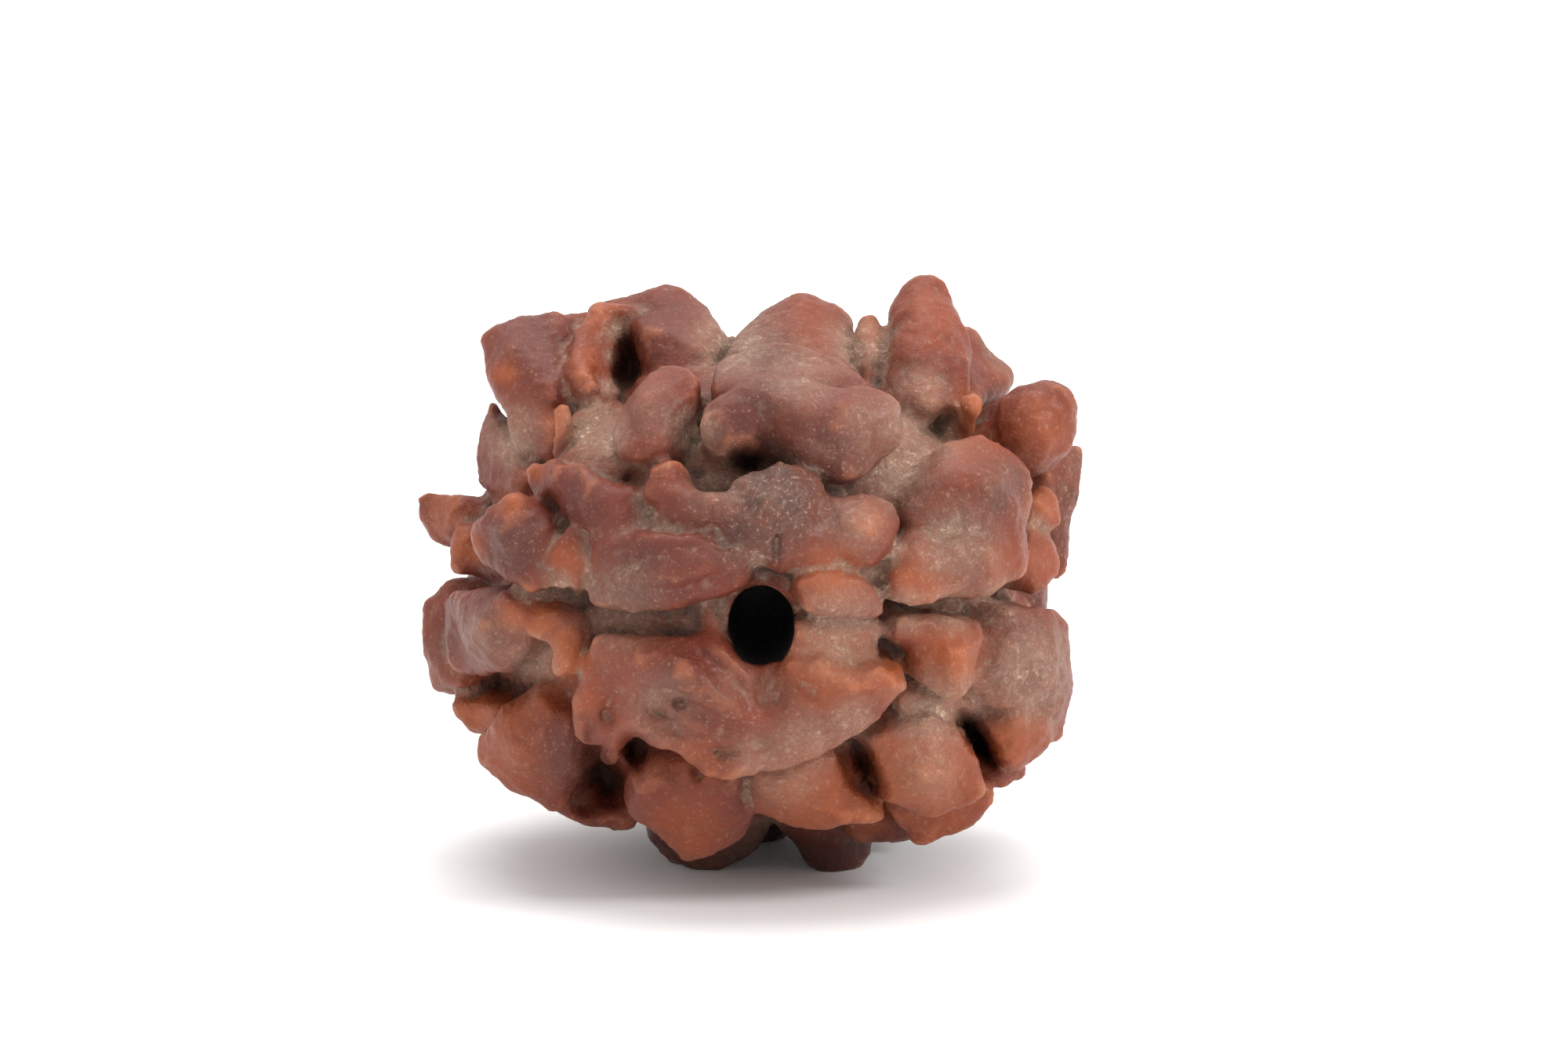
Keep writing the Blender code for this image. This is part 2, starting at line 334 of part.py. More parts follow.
def rim_balls(balls):
    """A rim lobe's balls as (centre, radius), from millimetres as seen."""
    return [((a * RIGHT + u * UP + t * TOWARD) * MM, r * MM) for a, u, t, r in balls]


def root_ball(ball, root):
    """The ball in the core straight under another one."""
    centre, radius = ball
    direction = centre.normalized()
    depth = min(centre.length, core_radius(direction) - ROOT_SINK)
    return direction * depth, radius * root


def add_skin(mesh, balls):
    """Adds the tight skin round some balls to a mesh as one closed shell, and returns it for measuring."""
    shell = bmesh.new()
    for centre, radius in balls:
        bmesh.ops.create_icosphere(shell, subdivisions=BALL_DETAIL, radius=radius + SMOOTHING_LOSS,
                                   matrix=Matrix.Translation(centre))
    hull = bmesh.ops.convex_hull(shell, input=shell.verts)
    loose = [part for part in hull["geom_interior"] if isinstance(part, bmesh.types.BMVert)]
    bmesh.ops.delete(shell, geom=loose, context="VERTS")
    skin = BVHTree.FromBMesh(shell), np.array([vert.co for vert in shell.verts])
    piece = bpy.data.meshes.new("skin")
    shell.to_mesh(piece)
    shell.free()
    mesh.from_mesh(piece)
    bpy.data.meshes.remove(piece)
    return skin


def add_lobe(mesh, form, root, balls):
    """Adds one lobe and returns its skins: one for a patch, else one from each ball to the next."""
    if form == "patch" or len(balls) == 1:
        return [add_skin(mesh, balls + [root_ball(ball, root) for ball in balls])]
    skins = []
    if form == "spike":
        skins.append(add_skin(mesh, [balls[0], root_ball(balls[0], root)]))
    for pair in zip(balls, balls[1:]):
        roots = [root_ball(ball, root) for ball in pair] if form == "ridge" else []
        skins.append(add_skin(mesh, list(pair) + roots))
    return skins


def add_core(mesh):
    """Adds the oval core, with the groove drawn in round its level belt."""
    core = bmesh.new()
    bmesh.ops.create_icosphere(core, subdivisions=CORE_SUBDIVISIONS, radius=1)
    for vert in core.verts:
        direction = vert.co.normalized()
        point = direction * core_radius(direction)
        wander = GROOVE_WANDER * math.sin(GROOVE_WAVES * math.atan2(point.y, point.x))
        share = math.exp(-(((point.z - wander) / GROOVE_HALF_WIDTH) ** 2))
        vert.co = point - direction * GROOVE_DEPTH * share
    piece = bpy.data.meshes.new("core")
    core.to_mesh(piece)
    core.free()
    mesh.from_mesh(piece)
    bpy.data.meshes.remove(piece)


def growth_of(name):
    """The name that a lobe shares with the lobes that it is grown together with."""
    for names in GROWN_TOGETHER:
        if name in names:
            return names[0]
    return name


def add_near_end(mesh, growths):
    """Adds the lobes that the near end shows, keeps their skins, and returns where they are."""
    places = []
    for lobes, balls_of in ((UPPER_LOBES, near_balls), (LOWER_LOBES, near_balls), (RIM_LOBES, rim_balls)):
        for name, form, root, numbers in lobes:
            balls = balls_of(numbers)
            growths.setdefault(growth_of(name), []).extend(add_lobe(mesh, form, root, balls))
            places += [centre for centre, _ in balls]
    return places


def add_feet(mesh, growths):
    """Adds the lobes that the bead rests on, keeps their skins, and returns where they are."""
    places = []
    for across, away, below, radius in FEET:
        centre = Vector((across, away, radius - below)) * MM
        growths[f"foot {across}"] = add_lobe(mesh, "patch", FOOT_ROOT, [(centre, radius * MM)])
        places.append(centre)
    return places


def on_core(point, height):
    """The point straight above or below another one that stands `height` above the core."""
    direction = point.normalized()
    return direction * (core_radius(direction) + height)


def outline_reach(turn, spread):
    """The least distance from the middle to the seen outline within `spread` radians of `turn`."""
    corners = sorted((math.atan2(up, across), math.hypot(across, up) * MM) for across, up in SEEN_OUTLINE)
    turns = np.linspace(turn - spread, turn + spread, 9)
    known, reach = zip(*corners)
    return np.interp(turns, known, reach, period=2 * math.pi).min()


def behind_outline(centre, radius):
    """A ball's centre, drawn in towards the line of sight until its lobe hides behind the outline."""
    across = centre.dot(RIGHT)
    up = centre.dot(UP)
    distance = max(math.hypot(across, up), MM)
    reach = outline_reach(math.atan2(up, across), OUTLINE_SPREAD / distance) - radius - OUTLINE_MARGIN
    return centre - (across * RIGHT + up * UP) * max(0, 1 - reach / distance)


def kind_of_lobe(kind, draw):
    """One lobe as (form, root, balls), with balls as millimetres along, aside, height and radius."""
    if kind == "plate":
        length = draw.uniform(1.2, 1.9)
        width = draw.uniform(0.8, 1.25)
        height = draw.uniform(0.9, 1.5)
        balls = []
        for step in range(6):
            turn = math.pi * (step + draw.uniform(-0.25, 0.25)) / 3
            lift = height + draw.uniform(-0.15, 0.15)
            balls.append((length * math.cos(turn), width * math.sin(turn), lift, 0.4))
        return "patch", 0.95, balls + [(0, 0, height + 0.4, 0.55)]
    if kind == "bean":
        half = draw.uniform(0.6, 1.1)
        height = draw.uniform(0.6, 1.0)
        return "ridge", 0.9, [(-half, 0, height, 0.85), (half, draw.uniform(-0.5, 0.5), height, 1.0)]
    if kind == "knob":
        return "patch", 0.8, [(0, 0, draw.uniform(0.5, 0.9), draw.uniform(1.0, 1.35))]
    if kind == "blade":
        height = draw.uniform(1.2, 1.7)
        bow = draw.uniform(-0.6, 0.6)
        return "ridge", 1.4, [(-1.4, 0, height, 0.34), (0, bow, height + 0.1, 0.38), (1.4, 0, height, 0.34)]
    lean = draw.uniform(-0.5, 0.5)
    return "spike", 1.0, [(0, 0, 0.3, 1.0), (0, lean / 2, 1.2, 0.8), (0, lean, 1.85, 0.48)]


def clear_of_openings(point):
    """A point moved off the groove, or None where it would cover a mouth of the bore."""
    if math.hypot(point.x - BORE_ACROSS, point.z) < MOUTH_CLEARANCE:
        return None
    side = 1 if point.z > 0 else -1
    return Vector((point.x, point.y, side * max(abs(point.z), GROOVE_CLEARANCE)))


def add_hidden_lobes(mesh, growths, taken, draw):
    """Adds lobes wherever the listed ones leave the core bare, on a spiral from end to end."""
    for step in range(SPIRAL_PLACES):
        turn = step * math.pi * (3 - math.sqrt(5))
        y = 1 - 2 * (step + 0.5) / SPIRAL_PLACES
        ring = math.sqrt(1 - y * y)
        place = on_core(Vector((ring * math.cos(turn), y, ring * math.sin(turn))), 0)
        place += Vector([draw.uniform(-1, 1) for _ in range(3)]) * PLACE_JITTER
        place = clear_of_openings(place)
        if place is None or place.dot(TOWARD) > SEEN_FROM:
            continue
        place = on_core(place, 1 * MM)
        if any((place - other).length < LOBE_CLEARANCE for other in taken):
            continue
        taken.append(place)
        form, root, numbers = kind_of_lobe(draw.choice(LOBE_KINDS), draw)
        out = place.normalized()
        aside = out.cross(Vector((0, 1, 0))).normalized()
        aside.rotate(Quaternion(out, draw.uniform(-0.9, 0.9)))
        along = aside.cross(out)
        balls = []
        for forth, sideways, height, radius in numbers:
            centre = on_core(place + along * forth * MM + aside * sideways * MM, height * MM)
            centre.z = max(centre.z, radius * MM - LOWEST)
            balls.append((behind_outline(centre, radius * MM), radius * MM))
        growths[f"hidden {step}"] = add_lobe(mesh, form, root, balls)


def new_object(name, mesh):
    made = bpy.data.objects.new(name, mesh)
    bpy.context.scene.collection.objects.link(made)
    return made


def hide_helper(helper):
    helper.hide_render = True
    helper.display_type = "WIRE"


def make_lumps(growths):
    """The bead before fusing: the core and every lobe as overlapping closed shells."""
    mesh = bmesh.new()
    add_core(mesh)
    taken = add_near_end(mesh, growths) + add_feet(mesh, growths)
    add_hidden_lobes(mesh, growths, taken, random.Random(SEED))
    lumps = bpy.data.meshes.new("bead")
    mesh.to_mesh(lumps)
    mesh.free()
    return new_object("bead", lumps)


def make_bore_cutter():
    """The bore as a solid: an oval bar along Y that flares at both mouths."""
    stations = ((-CUTTER_END, MOUTH_FLARE), (-1, MOUTH_FLARE), (-FLARE_START, 1), (FLARE_START, 1),
                (1, MOUTH_FLARE), (CUTTER_END, MOUTH_FLARE))
    mesh = bmesh.new()
    rings = []
    for along, flare in stations:
        away = along * CORE_TOWARD
        ring = []
        for side in range(BORE_SIDES):
            turn = 2 * math.pi * side / BORE_SIDES
            x = BORE_ACROSS + BORE_HALF_WIDTH * flare * math.cos(turn)
            z = BORE_UP + BORE_HALF_HEIGHT * flare * math.sin(turn)
            ring.append(mesh.verts.new((x, away, z)))
        rings.append(ring)
    for first, second in zip(rings, rings[1:]):
        for side in range(BORE_SIDES):
            after = (side + 1) % BORE_SIDES
            mesh.faces.new((first[side], first[after], second[after], second[side]))
    mesh.faces.new(rings[0])
    mesh.faces.new(rings[-1])
    bmesh.ops.recalc_face_normals(mesh, faces=mesh.faces)
    cutter_mesh = bpy.data.meshes.new("bore_cutter")
    mesh.to_mesh(cutter_mesh)
    mesh.free()
    cutter = new_object("bore_cutter", cutter_mesh)
    hide_helper(cutter)
    return cutter


def make_rest_cutter():
    """The block under the bead that trims its feet to one level."""
    mesh = bmesh.new()
    middle = Matrix.Translation((0, 0, -REST_HEIGHT - BLOCK_DEPTH / 2))
    block = middle @ Matrix.Diagonal((BLOCK_WIDTH, BLOCK_WIDTH, BLOCK_DEPTH, 1))
    bmesh.ops.create_cube(mesh, size=1, matrix=block)
    cutter_mesh = bpy.data.meshes.new("rest_cutter")
    mesh.to_mesh(cutter_mesh)
    mesh.free()
    cutter = new_object("rest_cutter", cutter_mesh)
    hide_helper(cutter)
    return cutter


def cut(target, cutter):
    modifier = target.modifiers.new("cut_" + cutter.name, "BOOLEAN")
    modifier.operation = "DIFFERENCE"
    modifier.object = cutter


def fused(lumps):
    """A new mesh: the skin round all the lumps, as the Remesh modifier makes it."""
    fuse = lumps.modifiers.new("fuse", "REMESH")
    fuse.mode = "VOXEL"
    fuse.voxel_size = FUSE_GRAIN
    mesh = bpy.data.meshes.new_from_object(lumps.evaluated_get(bpy.context.evaluated_depsgraph_get()))
    lumps.modifiers.remove(fuse)
    return mesh


def bend(mesh):
    """Shifts every point by a smooth random amount, so that no lobe stays a plain skin round balls."""
    for vert in mesh.vertices:
        for reach, length in BENDS:
            place = vert.co / length
            vert.co += Vector([noise.noise(place + apart) for apart in BEND_APART]) * reach


def read_points(mesh, kind="co"):
    """Every point's place, or its normal, as a row of three numbers."""
    values = np.empty(len(mesh.vertices) * 3, np.float32)
    mesh.vertices.foreach_get(kind, values)
    return values.reshape(-1, 3).astype(float)


def write_points(mesh, places):
    mesh.vertices.foreach_set("co", places.astype(np.float32).ravel())
    mesh.update()


def settle(mesh):
    """Moves each point towards its neighbours' mean, freely where that fills a valley."""
    count = len(mesh.vertices)
    ends = np.empty(len(mesh.edges) * 2, np.int32)
    mesh.edges.foreach_get("vertices", ends)
    first, second = ends.reshape(-1, 2).T
    valence = np.bincount(ends, minlength=count)[:, None]
    for _ in range(SETTLE_ROUNDS):
        at = read_points(mesh)
        total = np.zeros((count, 3))
        for axis in range(3):
            total[:, axis] += np.bincount(first, at[second, axis], count)
            total[:, axis] += np.bincount(second, at[first, axis], count)
        step = total / valence - at
        outward = (step * read_points(mesh, "normal")).sum(axis=1, keepdims=True) > 0
        write_points(mesh, at + step * np.where(outward, VALLEY_SHARE, CREST_SHARE))


def distance_to(skins, points):
    """How far each point is from the nearest of some skins, up to CREASE_REACH."""
    gaps = np.full(len(points), CREASE_REACH)
    for tree, corners in skins:
        low = corners.min(axis=0) - CREASE_REACH
        high = corners.max(axis=0) + CREASE_REACH
        for index in np.nonzero(((points > low) & (points < high)).all(axis=1))[0]:
            gap = tree.find_nearest(Vector(points[index]), CREASE_REACH)[3]
            if gap is not None:
                gaps[index] = min(gaps[index], gap)
    return gaps


def press_creases(mesh, growths):
    """Presses the points in that are equally near to two lobes, more in some places than in others."""
    points = read_points(mesh)
    nearest = np.full(len(points), CREASE_REACH)
    second = np.full(len(points), CREASE_REACH)
    for skins in growths.values():
        gaps = distance_to(skins, points)
        second = np.minimum(second, np.maximum(nearest, gaps))
        nearest = np.minimum(nearest, gaps)
    share = np.exp(-(((second - nearest) / CREASE_HALF_WIDTH) ** 2)) * (second < CREASE_REACH)
    share *= np.clip(1.4 - nearest / CREASE_BLEND, 0, 1)
    patches = np.array([noise.noise(Vector(point)) for point in points / CREASE_PATCHES])
    share *= np.clip(0.75 + 1.2 * patches, 0.15, 1)
    write_points(mesh, points - read_points(mesh, "normal") * (share * CREASE_DEPTH)[:, None])


def finish_bead(bead, growths, bore_cutter, rest_cutter):
    """Fuses the lumps and shapes them, then drills the bore, thins the mesh and trims it."""
    bead.data = fused(bead)
    settle(bead.data)
    press_creases(bead.data, growths)
    bend(bead.data)
    triangles = sum(len(face.vertices) - 2 for face in bead.data.polygons)
    cut(bead, bore_cutter)
    thin = bead.modifiers.new("thin", "DECIMATE")
    thin.ratio = TRIANGLES_KEPT / triangles
    cut(bead, rest_cutter)


def make_material():
    material = bpy.data.materials.new("bead_shell")
    material.use_nodes = True
    surface = material.node_tree.nodes["Principled BSDF"]
    surface.inputs["Base Color"].default_value = BEAD_COLOUR
    surface.inputs["Roughness"].default_value = BEAD_ROUGHNESS
    return material


def main():
    clear_scene()
    growths = {}
    bead = make_lumps(growths)
    finish_bead(bead, growths, make_bore_cutter(), make_rest_cutter())
    bead.data.materials.append(make_material())
    bead.location = (0, 0, REST_HEIGHT)
    for helper in bpy.data.objects:
        if helper is not bead:
            helper.location = (0, 0, REST_HEIGHT)


main()
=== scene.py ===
import math
import random
from functools import partial

import bmesh
import bpy
import numpy as np
from mathutils import Matrix, Quaternion, Vector, noise
from mathutils.bvhtree import BVHTree


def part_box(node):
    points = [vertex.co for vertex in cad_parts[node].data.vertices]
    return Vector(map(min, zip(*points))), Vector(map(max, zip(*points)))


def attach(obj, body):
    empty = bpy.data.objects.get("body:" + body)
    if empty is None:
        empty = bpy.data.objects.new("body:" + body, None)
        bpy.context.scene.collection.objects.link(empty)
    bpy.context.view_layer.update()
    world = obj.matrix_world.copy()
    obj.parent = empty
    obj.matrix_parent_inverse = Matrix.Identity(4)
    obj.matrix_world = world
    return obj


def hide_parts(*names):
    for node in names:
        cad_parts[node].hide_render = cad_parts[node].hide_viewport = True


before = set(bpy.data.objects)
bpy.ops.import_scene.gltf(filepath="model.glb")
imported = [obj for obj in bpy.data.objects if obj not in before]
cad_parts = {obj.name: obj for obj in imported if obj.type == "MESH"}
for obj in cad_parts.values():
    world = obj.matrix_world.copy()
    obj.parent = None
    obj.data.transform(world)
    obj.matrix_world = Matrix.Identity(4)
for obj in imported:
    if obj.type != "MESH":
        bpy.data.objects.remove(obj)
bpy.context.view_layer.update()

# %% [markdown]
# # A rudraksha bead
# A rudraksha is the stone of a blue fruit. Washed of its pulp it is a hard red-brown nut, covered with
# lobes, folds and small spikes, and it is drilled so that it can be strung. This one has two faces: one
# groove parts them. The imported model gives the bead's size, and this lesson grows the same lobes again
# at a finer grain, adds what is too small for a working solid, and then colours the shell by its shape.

MM = 0.001
node_low, node_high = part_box("bead")
print("packed bead, mm:", [round(side / MM, 2) for side in node_high - node_low])

# %% [markdown]
# The bead lies on its side, with the groove level and the mouth of the bore towards us. The eye looks
# down on it by a small angle. It helps to think in three directions of that eye: right, up, and
# towards the eye. A lobe that is measured on a picture can then be written down as it is seen.

# %% The eye's directions
EYE_TILT = math.radians(11)
RIGHT = Vector((1, 0, 0))
UP = Vector((0, math.sin(EYE_TILT), math.cos(EYE_TILT)))
TOWARD = Vector((0, -math.cos(EYE_TILT), math.sin(EYE_TILT)))
REST_HEIGHT = 8.85 * MM
print("middle of the bead stands", round(REST_HEIGHT / MM, 2), "mm high")

# %% [markdown]
# Under the lobes is a plain oval core. Nobody sees it, but every lobe is rooted in it, and the bottoms
# of the valleys between lobes lie close to it. So the core is also the measure for how high a place
# stands, which later decides where the shell is worn, orange and thin, or dusty.

# %% The core
CORE_ACROSS = 8.6 * MM
CORE_UP = 7.3 * MM
CORE_TOWARD = 8.0 * MM
# Behind, the core's top is lower by this much, so that lobes can stand there and stay out of sight
BACK_DROP = 1.0 * MM
BACK_BLEND = 0.4
GROOVE_DEPTH = 1.0 * MM
GROOVE_HALF_WIDTH = 0.6 * MM
GROOVE_WANDER = 0.3 * MM
GROOVE_WAVES = 5
BORE_ACROSS = 0.3 * MM
BORE_UP = 0.12 * MM
BORE_HALF_WIDTH = 0.96 * MM
BORE_HALF_HEIGHT = 1.12 * MM


def core_radius(direction):
    """How far the core's surface is from the middle of the bead along a unit direction."""
    behind = min(1, max(0, -direction.dot(TOWARD) / BACK_BLEND)) if direction.dot(UP) > 0 else 0
    a = direction.dot(RIGHT) / CORE_ACROSS
    u = direction.dot(UP) / (CORE_UP - BACK_DROP * behind)
    t = direction.dot(TOWARD) / CORE_TOWARD
    return 1 / math.sqrt(a * a + u * u + t * t)


def groove_level(point):
    """The height of the groove's bottom line beside a point: it wanders a little round the belt."""
    return GROOVE_WANDER * math.sin(GROOVE_WAVES * math.atan2(point.y, point.x))


def add_piece(mesh, shell):
    """Adds a bmesh shell to the bead's own bmesh."""
    piece = bpy.data.meshes.new("piece")
    shell.to_mesh(piece)
    shell.free()
    mesh.from_mesh(piece)
    bpy.data.meshes.remove(piece)


def add_core(mesh):
    """Adds the oval core, with the groove drawn in round its level belt."""
    core = bmesh.new()
    bmesh.ops.create_icosphere(core, subdivisions=6, radius=1)
    for vert in core.verts:
        direction = vert.co.normalized()
        point = direction * core_radius(direction)
        share = math.exp(-(((point.z - groove_level(point)) / GROOVE_HALF_WIDTH) ** 2))
        vert.co = point - direction * GROOVE_DEPTH * share
    add_piece(mesh, core)


bead_mesh = bmesh.new()
add_core(bead_mesh)
print("core points:", len(bead_mesh.verts))

# %% [markdown]
# A lobe could be sculpted by hand, but then its shape would be lost in thousands of points. Here each
# lobe is a few balls wrapped in a tight skin, as a sculptor packs clay over pellets. A patch is one
# skin round all its balls, a ridge has a skin from each ball to the next, and a spike is a ridge with
# one root. The skin also takes in a ball sunk in the core under each crest ball, so nothing floats.

# %% How a lobe is made
ROOT_SINK = 0.45 * MM
SMOOTHING_LOSS = 0.06 * MM
BALL_DETAIL = 3


def seen_point(across, up, height):
    """The point seen at (across, up) that stands `height` above the core on the near side."""
    a = across / (CORE_ACROSS + height)
    u = up / (CORE_UP + height)
    toward = (CORE_TOWARD + height) * math.sqrt(max(0.0, 1 - a * a - u * u))
    return across * RIGHT + up * UP + toward * TOWARD


def near_balls(balls):
    """A near lobe's balls as (centre, radius), from millimetres as seen."""
    return [(seen_point(a * MM, u * MM, h * MM), r * MM) for a, u, h, r in balls]


def rim_balls(balls):
    """A rim lobe's balls as (centre, radius), from millimetres as seen."""
    return [((a * RIGHT + u * UP + t * TOWARD) * MM, r * MM) for a, u, t, r in balls]


def root_ball(ball, root):
    """The ball in the core straight under another one."""
    centre, radius = ball
    direction = centre.normalized()
    depth = min(centre.length, core_radius(direction) - ROOT_SINK)
    return direction * depth, radius * root


def add_skin(mesh, balls):
    """Adds the tight skin round some balls to a mesh as a closed shell, and returns it for measuring."""
    shell = bmesh.new()
    for centre, radius in balls:
        bmesh.ops.create_icosphere(shell, subdivisions=BALL_DETAIL, radius=radius + SMOOTHING_LOSS,
                                   matrix=Matrix.Translation(centre))
    hull = bmesh.ops.convex_hull(shell, input=shell.verts)
    loose = [part for part in hull["geom_interior"] if isinstance(part, bmesh.types.BMVert)]
    bmesh.ops.delete(shell, geom=loose, context="VERTS")
    skin = BVHTree.FromBMesh(shell), np.array([vert.co for vert in shell.verts])
    add_piece(mesh, shell)
    return skin


def add_lobe(mesh, form, root, balls):
    """Adds one lobe and returns its skins: one for a patch, else one from each ball to the next."""
    if form == "patch" or len(balls) == 1:
        return [add_skin(mesh, balls + [root_ball(ball, root) for ball in balls])]
    skins = []
    if form == "spike":
        skins.append(add_skin(mesh, [balls[0], root_ball(balls[0], root)]))
    for pair in zip(balls, balls[1:]):
        roots = [root_ball(ball, root) for ball in pair] if form == "ridge" else []
        skins.append(add_skin(mesh, list(pair) + roots))
    return skins


# Lobes that run into each other with no crease between them
GROWN_TOGETHER = (
    ("dusky", "dusky_hem", "dusky_knob"),
    ("leaf", "leaf_bed", "leaf_fin"),
    ("long_lip", "fold_upper", "fold_lower"),
    ("ash", "ash_arm", "ash_bump", "pink"),
    ("bar", "bar_chin", "bar_top", "crown_middle"),
    ("dome", "dome_hem"),
    ("left_front", "left_lip", "tang"),
    ("lap", "lap_left", "lap_lip", "lap_ridge", "lap_nub", "collar", "filled", "wedge", "wedge_rim"),
    ("left_web", "left_hem", "left_crest", "blade_web"),
    ("finger", "finger_fold", "finger_base"),
    ("right_mass", "right_brow", "thumb", "thumb_lip", "thumb_root"),
    ("chin", "chin_horn"),
)


def growth_of(name):
    """The name that a lobe shares with the lobes that it is grown together with."""
    for names in GROWN_TOGETHER:
        if name in names:
            return names[0]
    return name


growths = {}
taken = []


def add_seen_lobes(mesh, lobes, balls_of):
    """Adds a list of lobes, and keeps their skins and where they are."""
    for name, form, root, numbers in lobes:
        balls = balls_of(numbers)
        growths.setdefault(growth_of(name), []).extend(add_lobe(mesh, form, root, balls))
        taken.extend(centre for centre, _ in balls)
    print("lobes:", len(lobes), "shells so far reach", len(mesh.verts), "points")


# %% [markdown]
# The upper face shows a bean, a bar with two knobs, a grey mass over the mouth and a broad lobe on the
# right. Each line below is one of them, so a lobe that looks wrong can be found and moved by itself.

